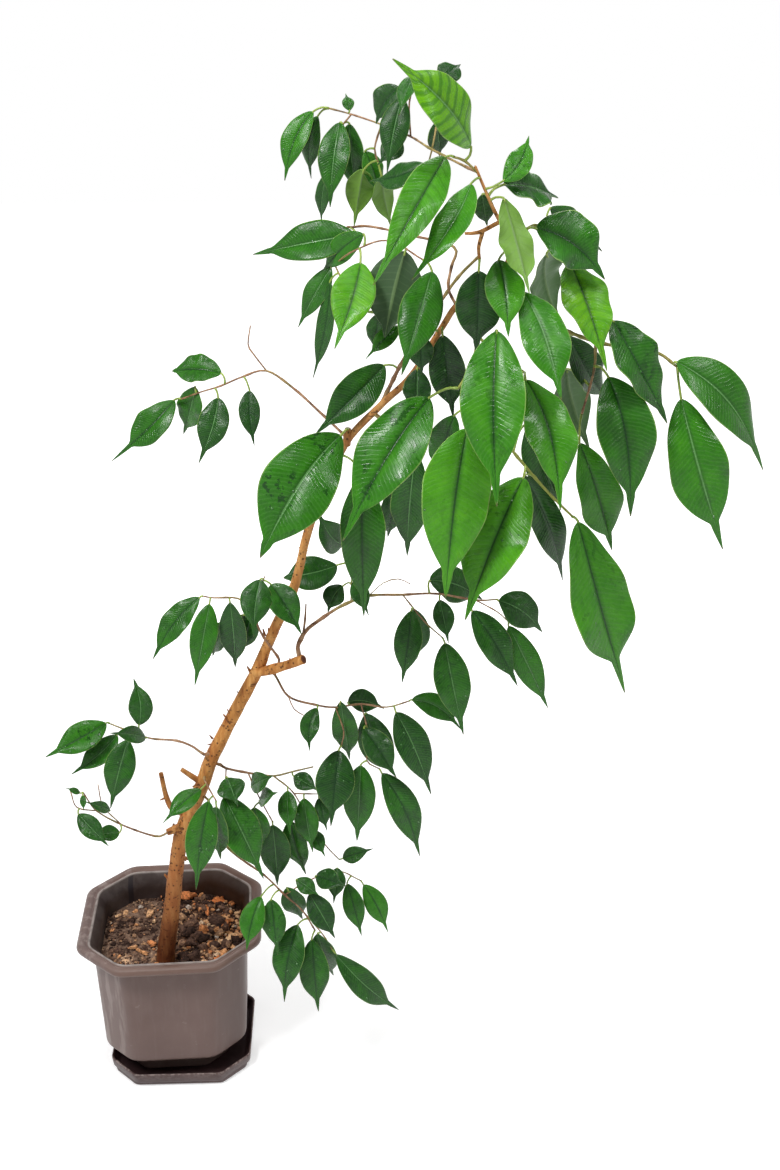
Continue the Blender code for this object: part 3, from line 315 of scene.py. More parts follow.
            (0.8, 0.6, [(9.6, -10, 64), (8.7, -9.4, 65.1), (8.4, -9.3, 65.7), (8.6, -9, 66.9)]),
        ],
        "leaves": [
            (6.5, -8.9, 63.6, 3, -7.5, 63.5, 2.2, 0), (3.1, -8.1, 61.6, -1.5, -8.6, 57.4, 2.4, 0),
            (4.6, -8.4, 62.6, 3.5, -7, 58.8, 2.2, 15), (6.2, -9.2, 62, 4.7, -10.6, 57.7, 2.2, 0),
            (8.4, -9.8, 62.6, 8.6, -11, 59, 1.5, 0),
        ],
    },
    "top_left_shoot": {
        "twigs": [
            (1.1, 0.7, [(22.1, -20.9, 78.2), (20, -17.6, 79.1), (19, -14.5, 79.6), (17.4, -11.5, 80.1),
                        (15.6, -9.6, 80.6), (14.2, -8.4, 80.9)]),
            (0.8, 0.7, [(19, -14.5, 79.6), (18.9, -14.6, 81.6), (19.4, -14.8, 83.4)]),
            (0.8, 0.7, [(20, -17.6, 79.1), (20.4, -16.9, 80.8), (20.6, -16.6, 82)]),
            (0.8, 0.7, [(17.4, -11.5, 80.1), (17, -11, 78.6), (17.2, -11.4, 77.8)]),
            (0.8, 0.7, [(20, -17.6, 79.1), (19.9, -17, 78.4)]),
            (0.8, 0.7, [(15.6, -9.6, 80.6), (14.4, -8.8, 79), (14.2, -8.6, 77.4)]),
        ],
        "leaves": [
            (13.2, -8.2, 80.7, 11.2, -8.6, 76.4, 1.8, 8), (13.5, -7.8, 80.4, 13, -6.6, 76.3, 1.6, 25),
            (14.9, -9.2, 80.1, 14.1, -10.6, 74.9, 2.1, 10),
            (14, -8.5, 76.9, 13.6, -7.6, 73.4, 1.1, 25), (15.5, -9, 80, 16, -7.5, 75, 1.9, 25),
            (15.5, -9.4, 80.8, 15.3, -8.5, 81.8, 0.8, 0), (16.3, -11, 77.3, 15.7, -9.5, 73.5, 1.9, 170),
            (17.4, -11.5, 77, 18.2, -9.6, 73.4, 1.7, 175), (18.4, -13.4, 82.4, 17, -12.4, 80.2, 1.9, 0),
            (18.5, -14.3, 81.9, 17.5, -15, 77.5, 1.9, 12), (18.6, -13, 79.2, 17, -13.4, 77.8, 1.6, 0),
            (20.6, -16.5, 83, 21.9, -15.4, 83.8, 1.6, 0),
            (19.3, -14.9, 83.2, 18.1, -16.6, 81, 1.3, 25),
            (20.3, -16.6, 80.6, 20.7, -15.4, 78.5, 1.6, 0), (19.7, -16.8, 78.2, 16.5, -14.5, 77, 2, 0),
            (16.4, -10.6, 78.4, 17.4, -9.6, 75.6, 1.5, 0),
        ],
    },
    "upper_left_shoot": {
        "twigs": [
            (1.1, 0.8, [(15, -13, 73.9), (14.4, -13.2, 73), (14.2, -14, 71.8)]),
            (0.8, 0.7, [(14.2, -14, 71.8), (15.4, -16.2, 73), (17.4, -17, 73.7), (19.4, -18.8, 72.8)]),
            (0.8, 0.7, [(14.2, -14, 71.8), (15, -15.8, 70.4), (16.2, -16.4, 69.2)]),
        ],
        "leaves": [
            (15.6, -13.6, 73.6, 9, -11.6, 72.1, 2.7, -10),
            (16, -15.6, 73.9, 13.3, -13, 70.9, 1.7, -20), (14, -13.9, 71.6, 11.8, -13.5, 67.7, 1.6, 0),
            (13.9, -14.4, 70.8, 12.7, -13.4, 64.3, 1.3, 25),
            (15.7, -17, 72.4, 13.9, -20.4, 67.8, 2.7, 0),
            (18.4, -17.9, 73.2, 17.1, -18.4, 68, 3.6, 180),
            (19.9, -19.3, 72.2, 17.8, -22.5, 66.6, 2.6, 0),
            (16.9, -16.3, 69.1, 16.7, -15, 66.3, 1.4, 15), (18.3, -16, 68.2, 16, -16.8, 66.3, 1.2, 0),
        ],
    },
}

# How each leaf looks, in the order of the plan: its tone, from 0 for the darkest
# to 1 for young yellow-green, how wet it is, from 0 to 1, or below 0 how strongly
# its side veins show as dark bands, how far its midrib bends sideways, as a share
# of its length, and, where it matters, how far along the blade is widest and how
# much of it is the thin tip.
LOOKS = {
    "leaf_top": [(1, -0.85, 0.02, 0.42), (0.68, -0.6, 0), (0.53, -0.25, -0.06), (0.6, 0.6, 0.08),
        (0.25, 0, 0, 0.5), (0.2, 0, 0), (0.75, 0, 0.05, 0.55)],
    "leaf_inner": [(0.3, 0, -0.01), (0.15, 0, 0), (0.1, 0.6, 0), (0.15, 0, 0), (0.1, 0, 0)],
    "leaf_high_right": [(0.4, 0.4, -0.08), (0.2, 0, 0.02), (0.85, -0.35, 0), (0.45, 0, 0)],
    "leaf_right": [(0.55, 0, -0.02), (0.5, 0.3, -0.03, 0.5), (0.3, 1, 0.03), (0.45, 0.2, -0.05),
        (0.45, 0.3, 0.03, 0.48), (0.4, 0.2, -0.03), (0.15, 0.2, 0.05), (0.45, 0.2, 0)],
    "leaf_front": [(0.55, 0.4, 0.02), (0.6, 0.2, -0.06)],
    "leaf_front_left": [(0.4, 1, 0.04, 0.5, 0.09), (0.5, 0.8, 0.01), (0.35, 0.3, 0.02), (0.25, 0, 0),
        (0.15, 0, 0)],
    "leaf_front_low": [(0.74, 0.2, 0.02), (0.35, 0, 0), (0.72, 0.5, -0.01), (0.15, 0.2, -0.03),
        (0.3, 0, 0.05), (0.55, 0.2, 0, 0.55), (0.62, 0.4, 0.05, 0.5, 0.2)],
    "low_left_shoot": [(0.4, 1, -0.02), (0.35, 0.3, -0.08), (0.3, 0.3, 0), (0.3, 0, 0.08), (0.2, 0, 0)],
    "lowest_left_shoot": [(0.25, 0, 0), (0.3, 0.4, 0), (0.3, 0, 0), (0.4, 0, 0), (0.4, 0, 0)],
    "trunk_side_shoot": [(0.4, 0, 0), (0.35, 0.8, 0.03), (0.25, 0, 0)],
    "low_right_shoot": [(0.3, 0.3, 0), (0.35, 0.6, 0), (0.35, 0, 0), (0.2, 0, 0), (0.4, 0, 0),
        (0.35, 0.4, 0), (0.3, 0, 0), (0.3, 0, 0), (0.35, 0, 0), (0.2, 1, 0), (0.25, 0, 0), (0.3, 0, 0),
        (0.25, 0, 0)],
    "lowest_right_shoot": [(0.5, 0, 0.03), (0.35, 0.7, 0), (0.25, 0.3, 0.03), (0.3, 0.3, 0),
        (0.25, 0, 0), (0.3, 0.3, 0.05), (0.1, 0, 0), (0.3, 0, 0), (0.3, 0, 0), (0.2, 0.5, 0),
        (0.25, 0, 0), (0.3, 0, 0), (0.45, 0.2, -0.04)],
    "mid_right_shoot": [(0.2, 0, 0.1), (0.3, 0, -0.03), (0.2, 0, -0.1), (0.3, 0, -0.12),
        (0.25, 0.6, -0.03), (0.25, 0.3, 0.05), (0.15, 0.3, 0), (0.15, 0.6, 0), (0.3, 0, 0),
        (0.3, 0.6, -0.05)],
    "mid_left_shoot": [(0.35, 0.3, 0.05), (0.45, 0.2, 0), (0.15, 0, -0.03), (0.3, 0.3, 0.03),
        (0.3, 0.3, -0.02), (0.2, 0, 0), (0.2, 0, 0)],
    "mid_right_upper_shoot": [(0.2, 0, 0), (0.3, 0.5, -0.03), (0.2, 0, -0.03), (0.2, 0.3, 0),
        (0.3, 0.6, 0), (0.25, 0.5, -0.03), (0.4, 0.5, 0), (0.25, 0.4, -0.06), (0.2, 0, -0.05),
        (0.2, 0, -0.05, 0.55, 0.05), (0.15, 0, 0.08), (0.2, 0, -0.12)],
    "far_left_shoot": [(0.4, 0.3, 0.02, 0.5, 0.06), (0.35, 0.4, -0.06, 0.4, 0.28), (0.4, 0, -0.06),
        (0.15, 0.3, -0.05), (0.1, 0, 0.03)],
    "top_left_shoot": [(0.45, 0.3, 0.06), (0.3, 0, 0.05), (0.3, 0.3, 0), (0.25, 0, 0), (0.35, 0, 0),
        (0.35, 0, 0), (0.85, 0, 0), (0.75, 0, 0), (0.15, 0, 0.06), (0.2, 0, 0), (0.15, 0, 0),
        (0.1, 0, 0), (0.35, 0, 0), (0.1, 0, 0), (0.2, 0, -0.13), (0.45, 0, 0)],
    "upper_left_shoot": [(0.35, 0.2, -0.03, 0.35), (0.45, 0, 0.05), (0.35, 0, 0), (0.25, 0, -0.06),
        (0.86, -0.35, -0.03), (0.1, 0, -0.03, 0.45, 0.08), (0.45, 0.2, -0.02), (0.3, 0, 0), (0.5, 0.5, 0)],
}


# --- meshes -----------------------------------------------------------------
class Builder:
    """Collects points and faces, with their material slots, UVs and looks."""

    def __init__(self):
        self.points, self.uvs, self.looks = [], [], []
        self.faces, self.slots = [], []
        self.count = 0

    def add(self, points, faces, slot=0, uvs=None, look=(0.0, 0.0, 0.0)):
        points = np.asarray(points, float).reshape(-1, 3)
        self.points.append(points)
        self.uvs.append(np.zeros((len(points), 2)) if uvs is None else np.asarray(uvs))
        self.looks.append(np.broadcast_to(look, (len(points), 3)))
        self.faces += [tuple(i + self.count for i in face) for face in faces]
        self.slots += list(slot) if isinstance(slot, (list, np.ndarray)) else [slot] * len(faces)
        self.count += len(points)

    def build(self, name, materials):
        mesh = bpy.data.meshes.new(name)
        mesh.from_pydata(np.concatenate(self.points).tolist(), [], self.faces)
        for mat in materials:
            mesh.materials.append(mat)
        mesh.polygons.foreach_set("material_index", self.slots)
        mesh.polygons.foreach_set("use_smooth", [True] * len(self.faces))
        uvs = np.concatenate(self.uvs)
        corners = np.zeros(len(mesh.loops), np.int32)
        mesh.loops.foreach_get("vertex_index", corners)
        layer = mesh.uv_layers.new(name="UVMap")
        layer.data.foreach_set("uv", uvs[corners].ravel().astype(np.float32))
        looks = np.concatenate(self.looks)
        for column, title in enumerate(("tone", "wet", "seed")):
            values = mesh.attributes.new(title, "FLOAT", "POINT")
            values.data.foreach_set("value", looks[:, column].astype(np.float32))
        mesh.validate()
        obj = bpy.data.objects.new(name, mesh)
        bpy.context.scene.collection.objects.link(obj)
        return obj


def grid_faces(rows, columns, wrap=False, flip=False, offset=0):
    """Quads of a grid of points stored row by row."""
    faces = []
    last = columns if wrap else columns - 1
    for row in range(rows - 1):
        for column in range(last):
            after = (column + 1) % columns
            quad = (row * columns + column, row * columns + after,
                    (row + 1) * columns + after, (row + 1) * columns + column)
            quad = tuple(offset + i for i in quad)
            faces.append(quad[::-1] if flip else quad)
    return faces


def unit(vector):
    return vector / max(np.linalg.norm(vector), 1e-9)


# --- twigs and trunk --------------------------------------------------------
TWIG_THINNESS = 0.72       # the shoots' twigs are thinner than their stand-ins in the CAD
WOOD_STEP = 3 * MM         # between the rings of points along the trunk and its limbs
TWIG_STEP = 4 * MM
STALK_STEP = 2.5 * MM
TRUNK_SIDES = 28
LIMB_SIDES = 16
CANOPY_TWIG_SIDES = 10
TWIG_SIDES = 8
STALK_SIDES = 7


def smooth_route(points, step):
    """Points with radii along a smooth curve through the route, step metres apart."""
    points = np.array(points, float)
    padded = np.vstack([2 * points[0] - points[1], points, 2 * points[-1] - points[-2]])
    dense = []
    for i in range(len(points) - 1):
        before, start, end, after = padded[i:i + 4]
        count = max(int(np.linalg.norm((end - start)[:3]) / step), 2)
        for t in np.arange(count) / count:
            dense.append(0.5 * (2 * start + (end - before) * t
                                + (2 * before - 5 * start + 4 * end - after) * t ** 2
                                + (3 * start - before - 3 * end + after) * t ** 3))
    dense.append(points[-1])
    return np.array(dense)


def route_in_metres(route, start_radius=None, end_radius=None):
    """Route in cm with radii in mm, or with its two end radii, turned into metres."""
    last = len(route) - 1
    rows = []
    for i, spot in enumerate(route):
        radius = spot[3] if start_radius is None else (
            start_radius + (end_radius - start_radius) * i / last)
        rows.append((spot[0] * CM, spot[1] * CM, spot[2] * CM, radius * MM))
    return rows


def add_tube(builder, route, sides, slot=0, rough=0.0, round_tip=False, seed=0, look=(0, 0, 0)):
    """A closed tube along a dense route of x, y, z and radius."""
    centres, radii = route[:, :3], route[:, 3]
    tangents = np.gradient(centres, axis=0)
    side = unit(np.cross(tangents[0], (0.3, 0.9, 0.1)))
    points, uvs = [], []
    travelled = 0.0
    for i, (centre, radius) in enumerate(zip(centres, radii)):
        tangent = unit(tangents[i])
        side = unit(side - tangent * side.dot(tangent))
        other = np.cross(tangent, side)
        if i:
            travelled += np.linalg.norm(centre - centres[i - 1])
        for k in range(sides):
            angle = 2 * math.pi * k / sides
            out = side * math.cos(angle) + other * math.sin(angle)
            swell = 1.0
            if rough:
                spot = Vector(centre + out * radius) * 90
                spot.z *= 0.45
                swell += rough * noise.noise(spot + Vector((seed, 0, 0)))
                swell += 0.5 * rough * noise.noise(spot * 3.1)
            points.append(centre + out * radius * swell)
            uvs.append((k / sides, travelled))
    count = len(centres)
    faces = grid_faces(count, sides, wrap=True)
    first, last = len(points), len(points) + 1
    points.append(centres[0])
    bulge = radii[-1] * (0.9 if round_tip else 0.12)
    points.append(centres[-1] + unit(tangents[-1]) * bulge)
    uvs += [(0, 0), (0, travelled)]
    for k in range(sides):
        after = (k + 1) % sides
        faces.append((first, after, k))
        faces.append((last, (count - 1) * sides + k, (count - 1) * sides + after))
    builder.add(points, faces, slot, uvs, look)


def nearest_on_routes(point, routes):
    """Closest point on any twig's route to a leaf's base, and the radius there."""
    best, gap, thickness = None, 1e9, 0.0
    for route in routes:
        starts, ends = route[:-1], route[1:]
        spans = ends[:, :3] - starts[:, :3]
        share = np.einsum("ij,ij->i", point - starts[:, :3], spans)
        share = np.clip(share / np.einsum("ij,ij->i", spans, spans), 0, 1)
        spots = starts[:, :3] + spans * share[:, None]
        gaps = np.linalg.norm(spots - point, axis=1)
        i = int(gaps.argmin())
        if gaps[i] < gap:
            best, gap = spots[i], gaps[i]
            thickness = starts[i, 3] + (ends[i, 3] - starts[i, 3]) * share[i]
    return best, thickness


# --- leaves -----------------------------------------------------------------
HALF_OF_BIG = np.array((0.04, 0.12, 0.24, 0.38, 0.52, 0.66, 0.8, 0.91, 0.97, 1))
HALF_OF_SMALL = np.array((0.06, 0.2, 0.42, 0.66, 0.88, 1))
BIG_ACROSS = np.concatenate([-HALF_OF_BIG[::-1], [0], HALF_OF_BIG])
SMALL_ACROSS = np.concatenate([-HALF_OF_SMALL[::-1], [0], HALF_OF_SMALL])
BIG_ROWS = 60              # rows of points along a large leaf
SMALL_ROWS = 32
LEAF_SKIN = 0.35 * MM      # thickness away from the midrib
RIB_WIDTH = 0.07           # of half the blade's width
MOST_DROPS = 9             # on the wettest leaves
TOP, UNDER, STALK, DROP = 0, 1, 2, 3


def blade_outline(share, widest, drip):
    """Half width of a leaf: a round base, a full middle and a thin drawn-out tip."""
    near = np.sin(np.pi / 2 * np.clip(share / widest, 0, 1)) ** 0.66
    beyond = np.clip(share - widest, 0, 1) / (1 - drip - widest)
    far = np.clip(1 - beyond ** 2, 0, 1) ** 1.05
    tail = 0.15 * np.clip((1 - share) / drip, 0, 1) ** 0.8
    merged = 0.5 * (far + tail + np.sqrt((far - tail) ** 2 + 0.003)) - 0.01
    return np.where(share < widest, near, merged)


def leaf_axes(base, tip, turn):
    """Unit vectors along the blade, across it and out of its top face."""
    along = unit(tip - base)
    up = LEAF_FACING - along * LEAF_FACING.dot(along)
    if np.linalg.norm(up) < 0.2:
        up = np.array((0, 0, 1.0)) - along * along[2]
    up = unit(up)
    angle = math.radians(turn)
    up = up * math.cos(angle) + np.cross(along, up) * math.sin(angle)
    return along, np.cross(along, up), up


def blade_points(base, tip, width, turn, shape, across, rows, rng):
    """Points, top normals and UVs of one arched, folded and wavy blade."""
    along, side, up = leaf_axes(base, tip, turn)
    length = np.linalg.norm(tip - base)
    share = np.linspace(0, 1, rows)
    bow = np.sin(np.pi * share ** 0.85)
    arch = length * rng.uniform(0.05, 0.10) * bow
    sway = length * (shape[0] + rng.uniform(-0.01, 0.01)) * bow
    middle = base + np.outer(share, tip - base) + np.outer(arch, up) + np.outer(sway, side)
    usual = (0.0, rng.uniform(0.36, 0.44), rng.uniform(0.12, 0.18))
    _, widest, drip = (*shape, *usual[len(shape):])
    half = np.maximum(width / 2 * blade_outline(share, widest, drip), 0.25 * MM)
    twist = math.radians(rng.uniform(-14, 14)) * (share - 0.3)
    tangent = np.gradient(middle, axis=0)
    tangent /= np.linalg.norm(tangent, axis=1)[:, None]
    sides = np.outer(np.cos(twist), side) + np.outer(np.sin(twist), up)
    sides -= tangent * np.einsum("ij,ij->i", sides, tangent)[:, None]
    sides /= np.linalg.norm(sides, axis=1)[:, None]
    normals = np.cross(sides, tangent)
    height = half[:, None] * blade_relief(share[:, None], across[None, :], rng)
    reach = half[:, None] * across[None, :]
    points = (middle[:, None, :] + reach[:, :, None] * sides[:, None, :]
              + height[:, :, None] * normals[:, None, :])
    uvs = np.stack(np.broadcast_arrays(across[None, :] * 0.5 + 0.5, share[:, None]), axis=2)
    down_rows, down_columns = np.gradient(points, axis=(0, 1))
    facing = np.cross(down_columns, down_rows)
    facing /= np.maximum(np.linalg.norm(facing, axis=2), 1e-12)[:, :, None]
    return points, facing, uvs


def blade_relief(share, across, rng):
    """Height of the blade's top over its half width: fold, groove, pleats and wavy margin."""
    fold, droop = rng.uniform(0.22, 0.42), rng.uniform(0.16, 0.36)
    waves, wave_height = rng.uniform(2.2, 4.2), rng.uniform(0.05, 0.15)
    wave_height *= 1.0 if across.size > len(SMALL_ACROSS) else 0.55
    left, right = rng.uniform(0, 6.28), rng.uniform(0, 6.28)
    swell = rng.uniform(0.04, 0.09)
    outwards = np.abs(across)
    lift = fold * outwards - droop * outwards ** 2 - 0.03 * np.exp(-(across / RIB_WIDTH) ** 2)
    phase = np.where(across < 0, left, right)
    ripple = np.sin(2 * np.pi * waves * share + phase) * outwards ** 2.2 * wave_height
    slow = np.sin(2 * np.pi * 1.4 * share + phase * 0.5 + 2 * outwards) * outwards * swell
    slanted = share - 0.14 * outwards ** 1.3
    pleats = np.sin(2 * np.pi * 12 * slanted) * outwards ** 0.5 * (1 - outwards) * 0.012
    return lift + ripple + slow + pleats


def add_blade(builder, plan, shape, across, rows, look, rng):
    """One blade, its shape being the bend of its midrib and, if given, its widest place and tip."""
    base, tip = np.array(plan[0:3]) * CM, np.array(plan[3:6]) * CM
    points, facing, uvs = blade_points(base, tip, plan[6] * CM, plan[7], shape, across, rows, rng)
    columns = len(across)
    rib = 0.5 * MM * np.exp(-(across / RIB_WIDTH) ** 2) * min(plan[6] / 3, 1)
    depth = LEAF_SKIN + rib[None, :] * np.linspace(1, 0.1, rows)[:, None]
    lower = points - facing * depth[:, :, None]
    both = np.concatenate([points.reshape(-1, 3), lower.reshape(-1, 3)])
    total = rows * columns
    faces = grid_faces(rows, columns)
    slots = [TOP] * len(faces)
    under = grid_faces(rows, columns, flip=True, offset=total)
    faces += under
    slots += [UNDER] * len(under)
    ring = (list(range(columns))
            + [row * columns + columns - 1 for row in range(1, rows)]
            + [(rows - 1) * columns + i for i in range(columns - 2, -1, -1)]
            + [row * columns for row in range(rows - 2, 0, -1)])
    for i, a in enumerate(ring):
        b = ring[(i + 1) % len(ring)]
        faces.append((b, a, a + total, b + total))
        slots.append(TOP)
    builder.add(both, faces, slots, np.concatenate([uvs.reshape(-1, 2)] * 2), look)
    for _ in range(int(max(look[1], 0) * MOST_DROPS)):
        row, column = rng.randint(rows // 6, rows * 3 // 4), rng.randint(2, columns - 3)
        add_drop(builder, points[row, column], facing[row, column], rng)


def add_drop(builder, spot, out, rng):
    """A low bead of water that sits on a leaf."""
    size = rng.uniform(0.4, 1.0) * MM
    shape, faces = ball(5, 8)
    side = unit(np.cross(out, (0.3, 0.2, 1.0)))
    turned_shape = shape @ np.array([side, np.cross(out, side), out * 0.55])
    builder.add(turned_shape * size + spot, faces, DROP)


def ball(rows, columns):
    """Points and faces of a ball of radius 1."""
    points = [(0, 0, -1.0)]
    for row in range(1, rows):
        lat = math.pi * (row / rows - 0.5)
        for k in range(columns):
            lon = 2 * math.pi * k / columns
            points.append((math.cos(lat) * math.cos(lon), math.cos(lat) * math.sin(lon),
                           math.sin(lat)))
    points.append((0, 0, 1.0))
    faces = [(0, 1 + (k + 1) % columns, 1 + k) for k in range(columns)]
    faces += grid_faces(rows - 1, columns, wrap=True, offset=1)
    last, top = len(points) - 1, 1 + (rows - 2) * columns
    faces += [(last, top + k, top + (k + 1) % columns) for k in range(columns)]
    return np.array(points), faces


def add_stalk(builder, plan, routes, look):
    """The stalk: it leaves the twig outwards and bends into the midrib."""
    base, tip = np.array(plan[0:3]) * CM, np.array(plan[3:6]) * CM
    along, _, up = leaf_axes(base, tip, plan[7])
    root, radius = nearest_on_routes(base, routes)
    size = 0.55 * MM + 0.07 * MM * plan[6]
    inside = base + along * 3 * MM + up * 0.2 * MM - up * size
    bend = base - along * 0.3 * np.linalg.norm(base - root) + up * 1 * MM
    route = np.array([(*root, size * 1.25), (*(root * 0.5 + bend * 0.5), size),
                      (*base, size), (*inside, size * 0.7)])
    add_tube(builder, smooth_route(route, STALK_STEP), STALK_SIDES, STALK, look=look)


def leaf_look(group, number, rng):
    """The tone, wetness and seed that the leaf's material reads."""
    tone, wet = LOOKS[group][number][:2]
    return min(max(tone + rng.uniform(-0.05, 0.05), 0), 1), wet, rng.uniform(0, 50)


def make_canopy(routes, materials):
    for group, plans in CANOPY_LEAVES.items():
        for number, plan in enumerate(plans):
            rng = random.Random(f"{group}{number}{SEED}")
            builder = Builder()
            look = leaf_look(group, number, rng)
            add_blade(builder, plan, LOOKS[group][number][2:], BIG_ACROSS, BIG_ROWS, look, rng)
            add_stalk(builder, plan, routes, look)
            node = f"{group}_{number + 1}"
            leaf = builder.build(node + "_blade", materials)
            keep(leaf, node)


def make_shoots(wood_routes, leaf_materials, twig_material):
    """Shoots of small leaves; the first twig of each grows out of the wood."""
    for name, plan in SHOOTS.items():
        twigs, leaves = Builder(), Builder()
        routes = []
        for start, end, route in plan["twigs"]:
            rows = route_in_metres(route, start * TWIG_THINNESS, end * TWIG_THINNESS)
            if not routes:
                root, _ = nearest_on_routes(np.array(rows[0][:3]), wood_routes)
                rows.insert(0, (*root, rows[0][3]))
            routes.append(smooth_route(rows, TWIG_STEP))
        for number, route in enumerate(routes):
            swell_at_nodes(route, number)
            add_tube(twigs, route, TWIG_SIDES, rough=0.15, round_tip=True, seed=number)
        for number, leaf_plan in enumerate(plan["leaves"]):
            rng = random.Random(f"{name}{number}{SEED}")
            look = leaf_look(name, number, rng)
            shape = LOOKS[name][number][2:]
            add_blade(leaves, leaf_plan, shape, SMALL_ACROSS, SMALL_ROWS, look, rng)
            add_stalk(leaves, leaf_plan, routes, look)
        keep(twigs.build(name + "_twigs", [twig_material]), name)
        keep(leaves.build(name + "_leaves", leaf_materials), name)


# How green the younger twigs are, and how dark the dead stubs, from 0 to 1.
LIMB_TONES = {"front_twig": 0.8, "front_right_twig": 0.9, "low_front_twig": 0.8,
              "right_twig": 0.5, "high_right_twig": 0.7, "lower_inner_twig": 0.4, "top_twig": 0.5,
              "upright_stub": 0.25, "short_stub": 0.35, "scar_knob": 0.2, "round_bud": 0.4}

# Dead spurs on the trunk and its stubs: where each starts and ends, in
# centimetres, and its radius in millimetres.
SPURS = [
    ((5.8, -8.3, 36.2), (5.4, -8.3, 36.9), 1.2), ((5.9, -8.3, 36.8), (5.7, -8.4, 37.4), 0.8),
    ((5.6, -8.2, 35.9), (5.3, -8.2, 35.8), 0.7), ((4.4, -7.3, 34.3), (4.2, -7.5, 34.7), 0.9),
    ((4.2, -7.3, 33.8), (4.0, -7.6, 33.9), 0.7), ((0.4, -6.0, 28.4), (-0.1, -6.2, 28.3), 1.1),
    ((3.2, -6.9, 30.2), (2.6, -7.1, 29.9), 1.2), ((2.9, -6.7, 29.6), (2.5, -6.9, 29.3), 0.9),
    ((8.8, -9.6, 44.0), (8.7, -9.8, 44.6), 1.1), ((9.1, -9.8, 44.4), (9.1, -10.0, 44.8), 0.8),
    ((10.6, -9.5, 41.8), (10.6, -9.6, 42.1), 0.7), ((7.6, -9.0, 40.8), (7.4, -9.2, 41.3), 1.1),
    ((8.6, -9.6, 42.0), (8.9, -9.8, 42.2), 0.8), ((9.5, -9.2, 40.9), (9.5, -9.3, 40.5), 0.9),
    ((6.7, -8.4, 38.6), (6.5, -8.6, 39.0), 0.7), ((1.3, -5.4, 22.4), (1.8, -5.6, 22.2), 1.8),
]
SCAR = (0.9, -5.9, 25.4)   # middle of the broken-off fork low on the trunk, in centimetres
DARK = (1, 0, 0)
SCAR_LUMPS = 46            # pieces of torn bark around it
PIMPLES = 170              # small raised pores on the lower trunk


def swell_at_nodes(route, seed):
    """Slight knots along a twig, where leaves have been."""
    rng = random.Random(f"nodes{seed}{len(route)}")
    spot = rng.randint(2, 4)
    while spot < len(route) - 1:
        route[spot, 3] *= 1.25
        spot += rng.randint(3, 6)


def make_trunk(bark, twig_material):
    route = smooth_route(route_in_metres(TRUNK), WOOD_STEP)
    wood = Builder()
    add_tube(wood, route, TRUNK_SIDES, rough=0.10, round_tip=True)
    routes = [route]
    thin = Builder()
    for number, (name, start, end, points) in enumerate(LIMBS):
        limb = smooth_route(route_in_metres(points, start, end), WOOD_STEP)
        routes.append(limb)
        look = (LIMB_TONES.get(name, 0.0), 0, 0)
        if name.endswith("twig"):
            swell_at_nodes(limb, number)
            add_tube(thin, limb, CANOPY_TWIG_SIDES, rough=0.16, seed=number, look=look)
        else:
            add_tube(wood, limb, LIMB_SIDES, rough=0.16, seed=number, look=look)
    add_scars(wood, route, routes)
    keep(wood.build("trunk_wood", [bark]), "trunk")
    keep(thin.build("canopy_twigs", [twig_material]), "trunk")
    return routes


def add_scars(wood, trunk, routes):
    """Spurs, the dark sawn end, the torn bark at the fork and small pimples."""
    for start, end, radius in SPURS:
        spur = np.array(route_in_metres([start, end], radius, 0.45 * radius))
        add_tube(wood, spur, 7, rough=0.3, seed=radius, look=(0.6, 0, 0))
    sawn = next(route for route, limb in zip(routes[1:], LIMBS) if limb[0] == "sawn_branch")
    tip, before = sawn[-1], sawn[-2]
    out = unit(tip[:3] - before[:3])
    plug = [(*(tip[:3] + out * step * MM), tip[3] * share)
            for step, share in ((-1.0, 0.8), (0.2, 0.84), (0.5, 0.7))]
    add_tube(wood, np.array(plug), 20, look=DARK)
    rng = random.Random(SEED)
    for _ in range(SCAR_LUMPS):
        x, y, z = SCAR
        centre = (np.array((x + rng.uniform(-1.0, 0.8), y + rng.uniform(-0.1, 0.4),
                            z + rng.uniform(-0.5, 0.6))) * CM)
        points, faces = lump(rng, np.array((1.8, 1.4, 1.5)) * rng.uniform(0.5, 1.2) * MM, 0.8)
        root, radius = nearest_on_routes(centre, [trunk])
        if np.linalg.norm(centre - root) < radius + 2.5 * MM:
            wood.add(points + centre, faces, look=(rng.choice((0.1, 0.4, 0.8)), 0, 0))
    for _ in range(PIMPLES):
        place = trunk[rng.randint(20, int(0.62 * len(trunk)))]
        angle = rng.uniform(-math.pi, 0)
        centre = place[:3] + np.array((math.cos(angle), math.sin(angle), 0)) * place[3] * 0.97
        points, faces = lump(rng, np.array((0.5, 0.5, 0.35)) * rng.uniform(0.7, 1.5) * MM)
        wood.add(points + centre, faces, look=(rng.uniform(0.3, 1.0), 0, 0))


# --- pot and saucer ---------------------------------------------------------
EDGE_STEPS = 6             # steps round the edge under the body


def rounded_octagon(width, chamfer, rounding, steps=5):
    """Outline of a square with cut corners whose eight edges are rounded."""
    half, inner = width / 2, width / 2 - chamfer
    corners = [(inner, -half), (half, -inner), (half, inner), (inner, half),
               (-inner, half), (-half, inner), (-half, -inner), (-inner, -half)]
    outline = []
    for i, corner in enumerate(corners):
        corner = np.array(corner)
        before = unit(np.array(corners[i - 1]) - corner)
        after = unit(np.array(corners[(i + 1) % 8]) - corner)
        start, end = corner + before * rounding, corner + after * rounding
        for k in range(steps):
            t = k / (steps - 1)
            outline.append((1 - t) ** 2 * start + 2 * t * (1 - t) * corner + t ** 2 * end)
    return np.array(outline)


